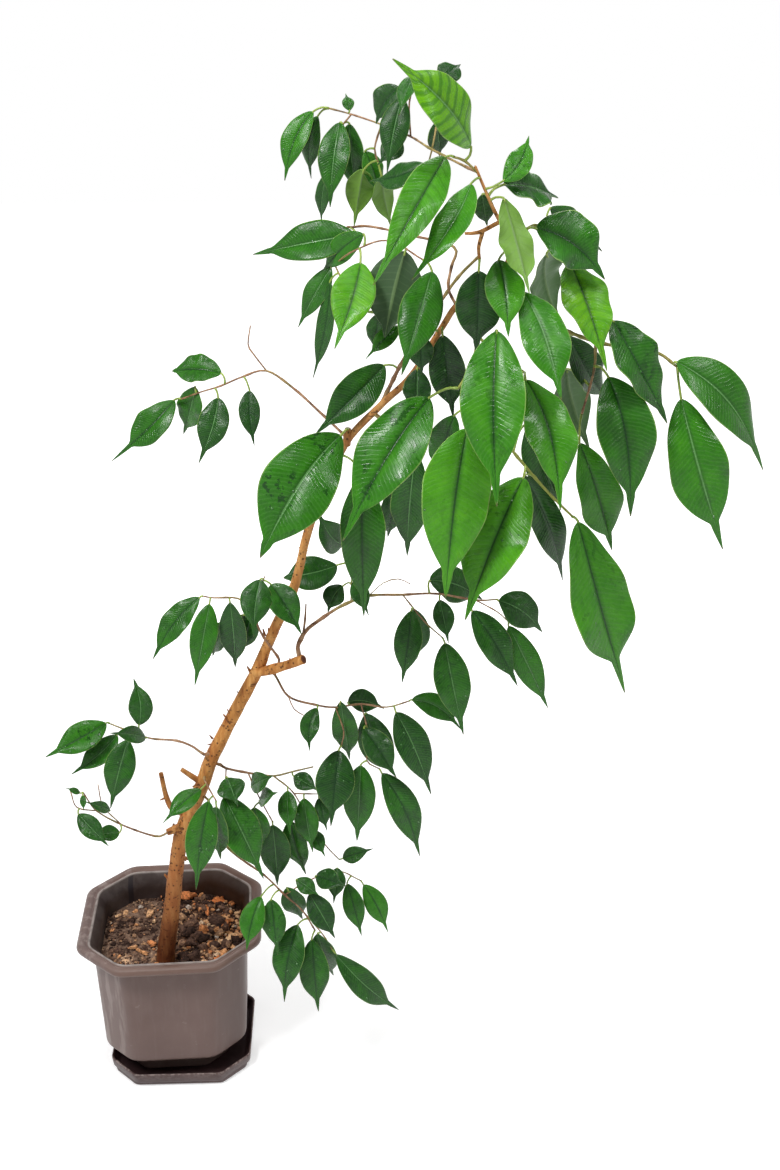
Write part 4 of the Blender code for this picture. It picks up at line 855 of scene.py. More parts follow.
def loft(name, sections, centre, mat, turn=0.0):
    """A closed shell through sections of (width, chamfer, rounding, z, worn, inside)."""
    builder = Builder()
    angle = math.radians(turn)
    spin = np.array([[math.cos(angle), math.sin(angle)], [-math.sin(angle), math.cos(angle)]])
    rings, looks = [], []
    for width, chamfer, rounding, z, wear_dust_and_highlight, inside in sections:
        outline = rounded_octagon(width, chamfer, rounding) @ spin + centre
        rings.append(np.column_stack([outline, np.full(len(outline), z)]))
        looks += [(wear_dust_and_highlight, inside, 0)] * len(outline)
    columns = len(rings[0])
    faces = grid_faces(len(rings), columns, wrap=True)
    middle = len(looks)
    ends = [(*centre, sections[0][3]), (*centre, sections[-1][3])]
    last = (len(rings) - 1) * columns
    for k in range(columns):
        after = (k + 1) % columns
        faces.append((middle, after, k))
        faces.append((middle + 1, last + k, last + after))
    looks += [(0, 0, 0), (0, 1, 0)]
    builder.add(np.concatenate(rings + [np.array(ends)]), faces, look=np.array(looks))
    return builder.build(name, [mat])


def make_saucer(mat):
    """Thin dish: outside and foot first, then over the rim and down inside."""
    foot_chamfer = SAUCER_CHAMFER - 4 * MM
    outside = [
        (SAUCER_FOOT_WIDTH - 3 * MM, 0.0), (SAUCER_FOOT_WIDTH - 1 * MM, 0.4 * MM),
        (SAUCER_FOOT_WIDTH, 1.4 * MM), (SAUCER_FOOT_WIDTH + 0.6 * MM, SAUCER_FOOT_HEIGHT - 0.6 * MM),
    ]
    wall = [
        (3.5 * MM, SAUCER_FOOT_HEIGHT, 0), (2.2 * MM, SAUCER_FOOT_HEIGHT + 1.0 * MM, 0),
        (0.6 * MM, SAUCER_HEIGHT - 1.2 * MM, 0.3), (0.8 * MM, SAUCER_HEIGHT - 0.3 * MM, 1),
        (1.8 * MM, SAUCER_HEIGHT, 1), (3.2 * MM, SAUCER_HEIGHT - 0.4 * MM, 0.1),
        (4.0 * MM, SAUCER_HEIGHT - 1.6 * MM, 0),
    ]
    sections = [(width, foot_chamfer, 3 * MM, z, 0, 0) for width, z in outside]
    sections += [(SAUCER_WIDTH - less, SAUCER_CHAMFER, 4 * MM, z, wear_dust_and_highlight, 0) for less, z, wear_dust_and_highlight in wall]
    sections += [
        (SAUCER_WIDTH - 5.4 * MM, SAUCER_CHAMFER - 1 * MM, 4 * MM, SAUCER_HEIGHT - 3 * MM, 0, 1),
        (SAUCER_FOOT_WIDTH - 3.5 * MM, foot_chamfer, 3 * MM, SAUCER_FLOOR + 1.2 * MM, 0, 1),
        (SAUCER_FOOT_WIDTH - 6.0 * MM, foot_chamfer, 3 * MM, SAUCER_FLOOR, 0, 1),
    ]
    saucer = loft("saucer_shell", sections, np.array(SAUCER_CENTRE), mat, SAUCER_TURN)
    keep(saucer, "saucer")


def body_section(z, inset=0.0, inside=0):
    """A section of the pot's flared body at height z, inset from its outside."""
    share = (z - POT_BODY_BOTTOM) / (POT_TOP - POT_BODY_BOTTOM)
    width = POT_BASE_WIDTH + share * (POT_SHOULDER_WIDTH - POT_BASE_WIDTH)
    chamfer = POT_BASE_CHAMFER + share * (POT_SHOULDER_CHAMFER - POT_BASE_CHAMFER)
    return width - 2 * inset, chamfer - 0.6 * inset, 8 * MM, z, 0, inside


def rim_section(less, drop, wear_dust_and_highlight=0.0, inside=0):
    """A section of the rim, narrower than its widest by less and below its top by drop."""
    width = POT_RIM_WIDTH - less * MM
    share = (width - POT_MOUTH_WIDTH) / (POT_RIM_WIDTH - POT_MOUTH_WIDTH)
    chamfer = POT_MOUTH_CHAMFER + share * (POT_RIM_CHAMFER - POT_MOUTH_CHAMFER)
    return width, chamfer, 7 * MM, POT_TOP - drop * MM, wear_dust_and_highlight, inside


def make_pot(mat):
    """Foot, flared body, rolled lip with a groove and a bead, then down inside."""
    bottom = POT_BODY_BOTTOM
    foot = [(-6, POT_BOTTOM), (-1, POT_BOTTOM), (0, POT_BOTTOM + 1 * MM), (1, bottom - 1 * MM),
            (4, bottom)]
    sections = [(POT_FOOT_WIDTH + more * MM, POT_FOOT_CHAMFER, 4 * MM, z, 0, 0) for more, z in foot]
    for step in range(EDGE_STEPS + 1):
        angle = math.pi / 2 * step / EDGE_STEPS
        z = bottom + POT_EDGE * (1 - math.cos(angle))
        sections.append(body_section(z, inset=POT_EDGE * (1 - math.sin(angle))))
    lip = POT_TOP - POT_RIM_HEIGHT
    sections += [body_section(z) for z in (45 * MM, 75 * MM, 105 * MM, lip - 1 * MM, lip)]
    # a third value marks where the lip's edge carries a pale painted highlight
    outer = ((6, 7), (2.4, 6.4, 0.25), (0.8, 5.4, 0.1), (0, 3.8), (0.6, 1.8), (2.4, 0.6, 0.15),
             (5, 0, 0.1), (9, 0), (12, 0.3))
    sections += [rim_section(*place) for place in outer]
    inner = ((14.5, 1.2), (16.3, 2.2), (17.8, 1.9), (19.2, 1.1, 0.9), (20.8, 0.9, 1), (22.4, 1.3, 0.9),
             (23.2, 2.6, 0.1))
    sections += [rim_section(*place) for place in inner[:3]]
    sections += [rim_section(less, drop, wear_dust_and_highlight, 1) for less, drop, wear_dust_and_highlight in inner[3:]]
    for z in (POT_TOP - 8 * MM, 118 * MM, 95 * MM, 60 * MM, 30 * MM):
        sections.append(body_section(z, inset=POT_WALL, inside=1))
    keep(loft("pot_shell", sections, np.array(POT_CENTRE), mat), "pot")


# --- soil -------------------------------------------------------------------
SOIL_BOTTOM = 32 * MM
SOIL_GAP = 0.3 * MM        # between the soil and the pot's wall
SOIL_RINGS = 70            # rings of points in the soil's surface
CRUMBS = 2600              # tried places for crumbs and clods
BIG_CLODS = 190            # the first of them, which may be large
SOIL_REACH = 0.062         # from the pot's centre to the farthest place tried
TRUNK_CLEAR = 8.5 * MM     # crumbs keep this far from the middle of the trunk's foot


def rightness(x):
    """0 on the smooth left of the soil, 1 on its cloddy right."""
    return min(max((x + 0.018) / 0.035, 0), 1)


def soil_height(x, y):
    """Top of the soil: gently mounded, rougher to the right."""
    spot = Vector((x, y, 0))
    rough = 0.55 + 0.45 * rightness(x)
    wide = noise.noise(spot * 28) * 2.6 * MM
    fine = noise.noise(spot * 100 + Vector((9, 0, 0))) * 2.6 * MM
    grain = noise.noise(spot * 420) * 0.6 * MM
    return SOIL_TOP + 1.0 * MM + wide + rough * fine + grain


def make_soil_bed(mat):
    """The body of soil: its uneven top, its side and its flat bottom."""
    builder = Builder()
    inset = POT_WALL + SOIL_GAP
    width, chamfer = body_section(SOIL_TOP, inset)[:2]
    outline = rounded_octagon(width, chamfer, 7 * MM, steps=12)
    centre = np.array(POT_CENTRE)
    points = [(*centre, soil_height(*centre))]
    for ring in range(1, SOIL_RINGS + 1):
        for spot in outline * (ring / SOIL_RINGS) + centre:
            points.append((*spot, soil_height(*spot)))
    columns = len(outline)
    faces = [(0, 1 + k, 1 + (k + 1) % columns) for k in range(columns)]
    faces += grid_faces(SOIL_RINGS, columns, wrap=True, flip=True, offset=1)
    low_width, low_chamfer = body_section(SOIL_BOTTOM, inset)[:2]
    base = rounded_octagon(low_width, low_chamfer, 7 * MM, steps=12)
    start = len(points)
    top = start - columns
    points += [(*spot, SOIL_BOTTOM) for spot in base + centre]
    points.append((*centre, SOIL_BOTTOM))
    for k in range(columns):
        after = (k + 1) % columns
        faces.append((top + k, start + k, start + after, top + after))
        faces.append((start + columns, start + after, start + k))
    builder.add(points, faces)
    keep(builder.build("soil_bed", [mat]), "potting_soil")


def inside_pot(x, y, margin):
    """Whether a place on the soil is clear of the pot's wall by the margin."""
    width, chamfer = body_section(SOIL_TOP, POT_WALL)[:2]
    dx, dy = abs(x - POT_CENTRE[0]), abs(y - POT_CENTRE[1])
    half = width / 2 - margin
    return dx < half and dy < half and dx + dy < 2 * half - chamfer


def lump(rng, size, boxiness=1.0):
    """Points and faces of one irregular crumb, size being its three half lengths."""
    shape, faces = ball(7, 10)
    shape = np.sign(shape) * np.abs(shape) ** boxiness
    offset = Vector((rng.uniform(0, 99), rng.uniform(0, 99), 0))
    swell = np.array([1 + 0.5 * noise.noise(Vector(p) * 1.3 + offset)
                      + 0.45 * noise.noise(Vector(p) * 3.2 + offset) for p in shape])
    return shape * swell[:, None] * size, faces


def turned(points, spin, lean):
    """Points tipped by lean about +X, then turned by spin about +Z, in radians."""
    around = np.array([[math.cos(spin), -math.sin(spin), 0],
                       [math.sin(spin), math.cos(spin), 0], [0, 0, 1]])
    over = np.array([[1, 0, 0], [0, math.cos(lean), -math.sin(lean)],
                     [0, math.sin(lean), math.cos(lean)]])
    return points @ over.T @ around.T


# Bark bits that catch the eye: x and y in centimetres, length, width and
# thickness in millimetres, turn in degrees and tone (0 orange to 1 pale tan).
BARK_BITS = [
    (3.3, 4.6, 12, 7, 6, 15, 0.0), (-2.3, -1.2, 9, 4.5, 3, 130, 0.15), (-3.0, -2.5, 14, 3, 2.5, -38, 0.4),
    (-3.8, -1.8, 7, 4, 2.5, 10, 0.5), (-2.75, 2.9, 9, 6, 4, 70, 0.6), (-5.6, 2.9, 6, 3.5, 2, 20, 0.7),
    (-5.0, 3.5, 6, 4, 3, 80, 0.6), (-3.7, 4.1, 5, 3.5, 3, 0, 1.0), (1.7, -3.0, 12, 2.6, 2.5, 62, 0.5),
    (2.4, 3.1, 14, 3.5, 3, 96, 0.05), (5.2, 2.6, 7, 5, 4, 30, 0.7), (4.1, 1.9, 8, 5, 4, 150, 0.5),
    (4.8, -0.9, 9, 6, 5, 20, 0.7), (2.9, 0.3, 7, 5, 4, 40, 0.8), (0.4, 3.0, 7, 4, 4, 100, 0.6),
    (0.9, 5.3, 8, 4, 4, 10, 0.1), (1.7, 5.2, 6, 4, 4, 60, 0.3), (4.6, 4.0, 7, 4, 4, 120, 0.1),
    (3.4, 1.4, 7, 4, 4, 0, 0.6), (-4.9, -3.0, 4, 2.5, 2, 45, 0.4), (-5.9, 0.8, 5, 3, 2, 60, 0.3),
]


def make_soil_bits(mat):
    """Crumbs, clods and bark bits; seen from above, they thicken to the right."""
    rng = random.Random(SEED)
    builder = Builder()
    for x, y, length, width, thick, turn, tone in BARK_BITS:
        points, faces = lump(rng, np.array((length, width, thick)) * MM / 2, 0.6)
        points = turned(points, math.radians(turn), rng.uniform(-0.4, 0.4))
        centre = (x * CM, y * CM, soil_height(x * CM, y * CM) + 0.3 * thick * MM)
        builder.add(points + centre, faces, look=(tone, 1, 0))
    for number in range(CRUMBS):
        x = POT_CENTRE[0] + rng.uniform(-SOIL_REACH, SOIL_REACH)
        y = POT_CENTRE[1] + rng.uniform(-SOIL_REACH, SOIL_REACH)
        right = rightness(x)
        size = rng.uniform(0.4, 1.2) * MM
        if rng.random() < 0.06 + 0.17 * right:
            size = rng.uniform(1.4, 2.8) * MM
        if number < BIG_CLODS and rng.random() < right:
            size = rng.uniform(3.0, 5.6) * MM
        near_trunk = math.hypot(x - TRUNK_FOOT[0], y - TRUNK_FOOT[1]) < TRUNK_CLEAR + size
        if near_trunk or not inside_pot(x, y, size):
            continue
        far_right = min(max((x - 0.012) / 0.02, 0), 1)
        chance = 0.08 + 0.16 * right + 0.30 * far_right
        pale = rng.random() < (chance if size < 2.8 * MM else 0.5 * chance)
        half = np.array((rng.uniform(0.8, 1.4), rng.uniform(0.6, 1.1), rng.uniform(0.5, 0.8)))
        points, faces = lump(rng, half * size, 0.8)
        points = turned(points, rng.uniform(0, 6.28), rng.uniform(-0.6, 0.6))
        centre = (x, y, soil_height(x, y) + size * rng.uniform(0.0, 0.4))
        builder.add(points + centre, faces, look=(rng.random(), float(pale), 0))
    keep(builder.build("soil_bits", [mat]), "potting_soil")


# --- materials --------------------------------------------------------------
class Nodes:
    """Short names for building one material's nodes."""

    def __init__(self, name, roughness, **settings):
        self.material = bpy.data.materials.new(name)
        self.material.use_nodes = True
        self.tree = self.material.node_tree
        self.shader = self.tree.nodes["Principled BSDF"]
        self.shader.inputs["Roughness"].default_value = roughness
        for socket, value in settings.items():
            self.shader.inputs[socket.replace("_", " ")].default_value = value

    def add(self, kind, **settings):
        node = self.tree.nodes.new(kind)
        for key, value in settings.items():
            setattr(node, key, value)
        return node

    def put(self, value, socket):
        if isinstance(value, bpy.types.NodeSocket):
            self.tree.links.new(value, socket)
        elif value is not None:
            socket.default_value = value

    def math(self, operation, a, b=None, c=None):
        node = self.add("ShaderNodeMath", operation=operation)
        for value, socket in zip((a, b, c), node.inputs):
            self.put(value, socket)
        return node.outputs[0]

    def times(self, a, b):
        return self.math("MULTIPLY", a, b)

    def noise(self, where, scale, detail=3.0, roughness=0.55):
        node = self.add("ShaderNodeTexNoise")
        self.put(where, node.inputs["Vector"])
        node.inputs["Scale"].default_value = scale
        node.inputs["Detail"].default_value = detail
        node.inputs["Roughness"].default_value = roughness
        return node.outputs["Fac"]

    def voronoi(self, where, scale):
        node = self.add("ShaderNodeTexVoronoi", feature="F1")
        self.put(where, node.inputs["Vector"])
        node.inputs["Scale"].default_value = scale
        return node.outputs["Distance"]

    def ramp(self, value, *stops):
        """Colour ramp through (position, colour) stops, colours linear."""
        node = self.add("ShaderNodeValToRGB")
        self.put(value, node.inputs["Fac"])
        elements = node.color_ramp.elements
        while len(elements) < len(stops):
            elements.new(0.5)
        for element, (position, colour) in zip(elements, stops):
            element.position = position
            element.color = (*colour, 1.0)
        return node.outputs["Color"]

    def fade(self, value, start, end, to_start=0.0, to_end=1.0):
        """Smooth step from to_start to to_end as value goes from start to end."""
        node = self.add("ShaderNodeMapRange", interpolation_type="SMOOTHSTEP")
        for key, number in zip(("Value", "From Min", "From Max", "To Min", "To Max"),
                               (value, start, end, to_start, to_end)):
            self.put(number, node.inputs[key])
        return node.outputs["Result"]

    def mix(self, share, a, b):
        node = self.add("ShaderNodeMix", data_type="RGBA")
        self.put(share, node.inputs[0])
        for value, socket in ((a, node.inputs[6]), (b, node.inputs[7])):
            self.put((*value, 1.0) if isinstance(value, tuple) else value, socket)
        return node.outputs[2]

    def attribute(self, name):
        return self.add("ShaderNodeAttribute", attribute_name=name).outputs["Fac"]

    def scaled(self, where, scale):
        node = self.add("ShaderNodeMapping")
        self.put(where, node.inputs["Vector"])
        node.inputs["Scale"].default_value = scale
        return node.outputs["Vector"]

    def place(self):
        return self.add("ShaderNodeTexCoord").outputs["Object"]

    def split(self, where):
        node = self.add("ShaderNodeSeparateXYZ")
        self.put(where, node.inputs[0])
        return node.outputs["X"], node.outputs["Y"], node.outputs["Z"]

    def bump(self, height, distance, strength=1.0):
        node = self.add("ShaderNodeBump")
        self.put(height, node.inputs["Height"])
        node.inputs["Distance"].default_value = distance
        node.inputs["Strength"].default_value = strength
        self.put(node.outputs["Normal"], self.shader.inputs["Normal"])

    def colour(self, value):
        self.put(value, self.shader.inputs["Base Color"])

    def roughness(self, value):
        self.put(value, self.shader.inputs["Roughness"])


def leaf_coordinates(n):
    """Distance from the midrib (0 to 1), place along it, and a seeded vector."""
    x, along, _ = n.split(n.add("ShaderNodeUVMap", uv_map="UVMap").outputs["UV"])
    across = n.math("ABSOLUTE", n.math("MULTIPLY_ADD", x, 2.0, -1.0))
    join = n.add("ShaderNodeCombineXYZ")
    n.put(x, join.inputs[0])
    n.put(n.times(along, 2.3), join.inputs[1])
    n.put(n.attribute("seed"), join.inputs[2])
    return across, along, join.outputs[0]


def side_veins(n, across, along, where, count, sharp, wobble=0.02):
    """Lines that leave the midrib at a slant: 1 on a vein, 0 between."""
    bent = n.math("MULTIPLY_ADD", n.math("POWER", across, 1.2), -0.10, along)
    path = n.math("MULTIPLY_ADD", n.noise(where, 5.0, 2.0), wobble, bent)
    return n.fade(n.math("SINE", n.times(path, 2 * math.pi * count)), sharp, 1.0)


def leaf_top():
    """The top: cloudy greens, side veins, painted shade in the fold beside the midrib, a midrib that is
    pale on some leaves and painted dark as the shadow in its groove on others, a pale edge and wet
    patches.
    """
    n = Nodes("leaf_top", 0.3, Specular_IOR_Level=0.24)
    across, along, where = leaf_coordinates(n)
    age, wet = n.attribute("tone"), n.attribute("wet")
    cloud = n.math("SUBTRACT", n.noise(where, 2.2), 0.5)
    blotch = n.math("SUBTRACT", n.noise(where, 11.0, 3.0), 0.5)
    tone = n.math("MULTIPLY_ADD", cloud, 0.45, n.math("MULTIPLY_ADD", blotch, 0.22, age))
    body = n.ramp(tone, (0.0, (0.007, 0.030, 0.009)), (0.25, (0.012, 0.070, 0.007)),
                  (0.5, (0.026, 0.165, 0.004)), (0.78, (0.068, 0.285, 0.010)),
                  (1.0, (0.125, 0.365, 0.002)))
    bands = n.math("MAXIMUM", n.times(wet, -1.0), 0.14)
    pleats = n.times(side_veins(n, across, along, where, 11, -0.2, 0.05), bands)
    banded = n.mix(pleats, body, n.mix(0.85, body, (0.030, 0.150, 0.004)))
    fine = side_veins(n, across, along, where, 34, 0.0, 0.03)
    veined = n.mix(n.times(fine, 0.15), banded, (0.10, 0.28, 0.06))
    pale_rib = n.fade(n.math("FRACT", n.times(n.attribute("seed"), 7.0)), 0.48, 0.52)
    # painted shade: the blade darkens towards the midrib, standing in for the shade in its fold
    shade = n.mix(n.fade(across, 0.03, 0.16, 0.45, 0.0), veined, (0.005, 0.040, 0.005))
    # the midrib is pale on some leaves; on the others it is painted dark as the shadow in its groove
    rib_colour_and_groove_shade = n.mix(pale_rib, (0.006, 0.040, 0.008), (0.120, 0.290, 0.090))
    ribbed = n.mix(n.fade(across, 0.016, 0.042, 0.8, 0.0), shade, rib_colour_and_groove_shade)
    edged = n.mix(n.fade(across, 0.955, 0.985, 0.0, 0.6), ribbed, (0.30, 0.46, 0.12))
    tipped = n.mix(n.fade(along, 0.965, 1.0, 0.0, 0.7), edged, (0.20, 0.16, 0.07))
    patches = n.fade(n.noise(where, 7.0, 4.0, 0.65), 0.55, 0.58)
    spread = n.times(n.fade(n.noise(where, 1.9, 1.0), 0.42, 0.60), n.math("MAXIMUM", wet, 0.0))
    soaked = n.times(patches, spread)
    n.colour(n.mix(n.times(soaked, 0.8), tipped, (0.004, 0.035, 0.005)))
    dull = n.fade(n.noise(where, 3.0), 0.3, 0.7, 0.18, 0.38)
    n.roughness(n.math("SUBTRACT", dull, n.times(soaked, 0.15)))
    relief = n.math("MULTIPLY_ADD", fine, -0.55, n.times(n.noise(where, 30.0, 3.0), 0.5))
    waves = n.math("MULTIPLY_ADD", n.noise(where, 8.0, 2.0), 1.6, relief)
    n.bump(waves, 0.20 * MM, 0.6)
    return n.material


def leaf_under():
    """The paler underside of a leaf."""
    n = Nodes("leaf_under", 0.45, Specular_IOR_Level=0.25)
    across, along, where = leaf_coordinates(n)
    body = n.ramp(n.attribute("tone"), (0.0, (0.038, 0.075, 0.034)), (0.5, (0.085, 0.170, 0.060)),
                  (1.0, (0.200, 0.400, 0.030)))
    veins = side_veins(n, across, along, where, 12, 0.6)
    veined = n.mix(n.times(veins, 0.12), body, (0.13, 0.22, 0.09))
    n.colour(n.mix(n.fade(across, 0.03, 0.07, 0.6, 0.0), veined, (0.16, 0.25, 0.10)))
    n.bump(veins, 0.12 * MM, 0.5)
    return n.material


def leaf_stalk():
    n = Nodes("leaf_stalk", 0.42)
    n.colour(n.ramp(n.noise(n.place(), 120.0), (0.3, (0.15, 0.25, 0.03)), (0.7, (0.36, 0.46, 0.08))))
    return n.material


def water_drop():
    n = Nodes("water_drop", 0.05, Specular_IOR_Level=0.6)
    n.colour((0.045, 0.170, 0.030, 1.0))
    return n.material


def bark_material():
    """Tan, streaky bark with freckles and scars; redder low down and dark where it is damp."""
    n = Nodes("bark", 0.65, Specular_IOR_Level=0.2)
    place = n.place()
    z = n.split(place)[2]
    streaks = n.noise(n.scaled(place, (230, 230, 45)), 1.0, 4.0, 0.6)
    tan = n.ramp(streaks, (0.25, (0.26, 0.085, 0.022)), (0.5, (0.55, 0.240, 0.062)),
                 (0.8, (0.84, 0.470, 0.165)))
    patches = n.fade(n.noise(place, 34.0, 3.0), 0.50, 0.66, 0.0, 0.4)
    wear_dust_and_highlight = n.mix(patches, tan, (0.40, 0.130, 0.030))
    pores = n.voronoi(n.scaled(place, (300, 300, 240)), 1.0)
    freckled = n.math("MULTIPLY_ADD", n.fade(z, 0.15, 0.32, 1.0, 0.0), 0.12, n.noise(place, 90.0, 3.0))
    spots = n.times(n.fade(pores, 0.10, 0.36, 1.0, 0.0), n.fade(freckled, 0.44, 0.53))
    scars = n.fade(n.noise(n.scaled(place, (110, 110, 330)), 1.0, 2.0), 0.655, 0.69, 0.0, 0.8)
    marks = n.math("MAXIMUM", spots, scars)
    foot = n.math("MULTIPLY_ADD", n.noise(place, 60.0, 3.0), 0.03, z)
    damp = n.times(n.fade(foot, 0.150, 0.186, 0.95, 0.0), n.fade(streaks, 0.35, 0.65, 1.0, 0.75))
    reddish = n.mix(n.fade(foot, 0.18, 0.34, 0.58, 0.0), wear_dust_and_highlight, (0.33, 0.105, 0.042))
    upper = n.mix(n.fade(z, 0.42, 0.62, 0.0, 0.3), reddish, (0.40, 0.190, 0.085))
    marked = n.mix(n.times(marks, 0.88), upper, (0.050, 0.020, 0.010))
    stained = n.mix(n.times(n.attribute("tone"), 0.95), marked, (0.085, 0.022, 0.011))
    n.colour(n.mix(damp, stained, (0.120, 0.030, 0.010)))
    n.bump(n.math("SUBTRACT", n.times(streaks, 0.8), marks), 0.4 * MM, 0.9)
    return n.material


def twig_bark():
    n = Nodes("twig_bark", 0.6, Specular_IOR_Level=0.25)
    place = n.place()
    brown = n.ramp(n.noise(place, 180.0, 3.0), (0.3, (0.10, 0.050, 0.028)),
                   (0.5, (0.30, 0.160, 0.085)), (0.75, (0.50, 0.310, 0.180)))
    mossy = n.fade(n.noise(place, 26.0, 2.0), 0.5, 0.62, 0.0, 0.35)
    green = n.math("MAXIMUM", mossy, n.attribute("tone"))
    n.colour(n.mix(green, brown, (0.27, 0.33, 0.06)))
    n.bump(n.noise(place, 900.0), 0.15 * MM, 0.6)
    return n.material


def pot_plastic():
    """Brown-grey plastic, dusty inside, with painted light and shade: the right side darkened as shade,
    pale streaks on the left that are partly scuff marks and partly painted sheen, the inside wall coloured
    dark as shade with a near-black line of painted shade in its back-left corner, and a pale painted
    highlight along the lip's edges.

    The tone marks the painted highlight on the lip and the wet value marks the inside.
    """
    n = Nodes("pot_plastic", 0.42, Specular_IOR_Level=0.3)
    place = n.place()
    x, y, z = n.split(place)
    mottle = n.noise(place, 14.0, 5.0, 0.6)
    base = n.ramp(mottle, (0.3, (0.128, 0.080, 0.069)), (0.7, (0.168, 0.112, 0.099)))
    # painted shade: the right side of the pot is darkened, as the shade away from the light on the left
    base = n.mix(n.fade(x, 0.02, 0.06, 0.0, 0.4), base, (0.095, 0.060, 0.052))
    # pale streaks, strongest on the left: partly scuff marks and partly a painted sheen from the light on
    # the left
    streaks = n.noise(n.scaled(place, (140, 140, 20)), 1.0, 4.0)
    scuffs_and_sheen = n.times(n.fade(streaks, 0.50, 0.64, 0.05, 0.5), n.fade(x, -0.050, -0.038, 1.0, 0.12))
    scuffed_and_sheened = n.mix(scuffs_and_sheen, base, (0.33, 0.27, 0.25))
    specks = n.fade(n.noise(n.scaled(place, (110, 110, 160)), 1.0, 5.0), 0.66, 0.74, 0.0, 0.22)
    specked = n.mix(specks, scuffed_and_sheened, (0.36, 0.30, 0.27))
    rim = n.times(n.fade(z, POT_TOP - 8.5 * MM, POT_TOP - 6.5 * MM, 0.0, 0.55), n.fade(x, -0.075, -0.03))
    rimmed = n.mix(rim, specked, (0.150, 0.084, 0.060))
    dust = n.fade(n.noise(place, 55.0, 4.0, 0.6), 0.40, 0.66)
    dusty = n.times(dust, n.fade(x, -0.01, 0.03, 0.32, 0.08))
    # painted shade: the inside wall is coloured dark as the shade inside the pot, and dust lies over it
    shaded_lining = n.mix(n.fade(x, -0.03, 0.03), (0.040, 0.026, 0.023), (0.040, 0.017, 0.009))
    lined = n.mix(dusty, shaded_lining, (0.150, 0.125, 0.118))
    # painted shade: a near-black line down the inner back-left corner
    off_corner = n.math("ABSOLUTE", n.math("ADD", x, 46 * MM))
    corner_shade = n.times(n.fade(off_corner, 1.6 * MM, 2.6 * MM, 0.85, 0.0), n.fade(y, 0.02, 0.03))
    corner_shaded = n.mix(corner_shade, lined, (0.014, 0.010, 0.014))
    both_sides = n.mix(n.attribute("wet"), rimmed, corner_shaded)
    # painted highlight: a pale line along the lip's inner edge and top, where the tone is set
    wear_dust_and_highlight = n.times(n.attribute("tone"), n.fade(n.noise(place, 120.0, 3.0), 0.3, 0.6, 0.55, 1.0))
    n.colour(n.mix(wear_dust_and_highlight, both_sides, (0.34, 0.29, 0.265)))
    n.roughness(n.fade(mottle, 0.3, 0.7, 0.36, 0.5))
    n.bump(n.noise(place, 700.0, 2.0), 0.05 * MM, 0.5)
    return n.material


def saucer_plastic():
    n = Nodes("saucer_plastic", 0.42, Specular_IOR_Level=0.4)
    place = n.place()
    base = n.ramp(n.noise(place, 40.0, 4.0), (0.35, (0.052, 0.026, 0.025)),
                  (0.7, (0.088, 0.050, 0.047)))
    # painted shade: the inside of the dish, marked by the wet value, is darkened as the shade around the
    # pot
    shaded_inside = n.mix(n.times(n.attribute("wet"), 0.65), base, (0.020, 0.009, 0.011))
    dust = n.times(n.attribute("tone"), n.fade(n.noise(place, 300.0, 3.0), 0.42, 0.62, 0.1, 0.9))
    n.colour(n.mix(dust, shaded_inside, (0.28, 0.22, 0.20)))
    n.bump(n.noise(place, 500.0, 2.0), 0.05 * MM, 0.5)
    return n.material


def soil_material():
    """Matted grey-brown soil on the left, loose dark soil on the right, whose near-black end is painted
    shade in the gaps between clods.
    """
    n = Nodes("soil", 0.95, Specular_IOR_Level=0.2)
    place = n.place()
    x = n.split(place)[0]
    crumbs = n.noise(place, 260.0, 5.0, 0.65)
    clumps = n.math("MULTIPLY_ADD", n.noise(place, 70.0, 3.0), 0.7, n.times(crumbs, 0.6))
    matted = n.ramp(clumps, (0.52, (0.026, 0.012, 0.008)), (0.61, (0.125, 0.073, 0.050)),
                    (0.74, (0.215, 0.135, 0.092)), (0.86, (0.70, 0.43, 0.25)))
    # the near-black end of the loose ramp is painted shade in the gaps between the clods
    loose = n.ramp(crumbs, (0.35, (0.012, 0.005, 0.003)), (0.54, (0.060, 0.028, 0.017)),
                   (0.72, (0.340, 0.170, 0.085)))
    wander = n.math("MULTIPLY_ADD", n.noise(place, 60.0, 2.0), 0.03, x)
    n.colour(n.mix(n.fade(wander, -0.005, 0.012), matted, loose))
    n.bump(crumbs, 0.8 * MM, 1.0)
    return n.material


def soil_bit_material():
    """Grey-brown clods, or where the wet value is 1, orange to pale tan bark."""
    n = Nodes("soil_bits", 0.9, Specular_IOR_Level=0.2)
    place, tone = n.place(), n.attribute("tone")
    grain = n.noise(place, 420.0, 4.0, 0.6)
    shade = n.math("MULTIPLY_ADD", grain, 0.7, n.times(tone, 0.4))
    clod = n.ramp(shade, (0.32, (0.013, 0.006, 0.004)), (0.50, (0.072, 0.037, 0.026)),
                  (0.66, (0.180, 0.098, 0.064)), (0.82, (0.58, 0.33, 0.17)))
    wood = n.ramp(tone, (0.0, (0.72, 0.215, 0.065)), (0.4, (0.80, 0.385, 0.165)),
                  (0.8, (0.86, 0.560, 0.320)), (1.0, (0.56, 0.49, 0.42)))
    fibres = n.mix(n.fade(grain, 0.40, 0.58, 0.7, 0.0), wood, (0.20, 0.085, 0.036))
    n.colour(n.mix(n.attribute("wet"), clod, fibres))
    n.bump(grain, 1.2 * MM, 1.0)
    return n.material


# --- stage, lights and camera -----------------------------------------------
FLOOR_LIFT = (0.42, 1.0)   # how much the floor shines for the eye only, near and far
LIFT_REACH = (0.45, 1.1)   # the distances over which it grows
WORLD_LIGHT = 0.36         # the soft light from all around
COVE = (0.12, 0.5, 1.0, 0.3)   # the backdrop is white low down and grey overhead
FLOOR_SIZE = 12.0
FLOOR_GAP = 0.3 * MM       # keeps the floor off the saucer's underside

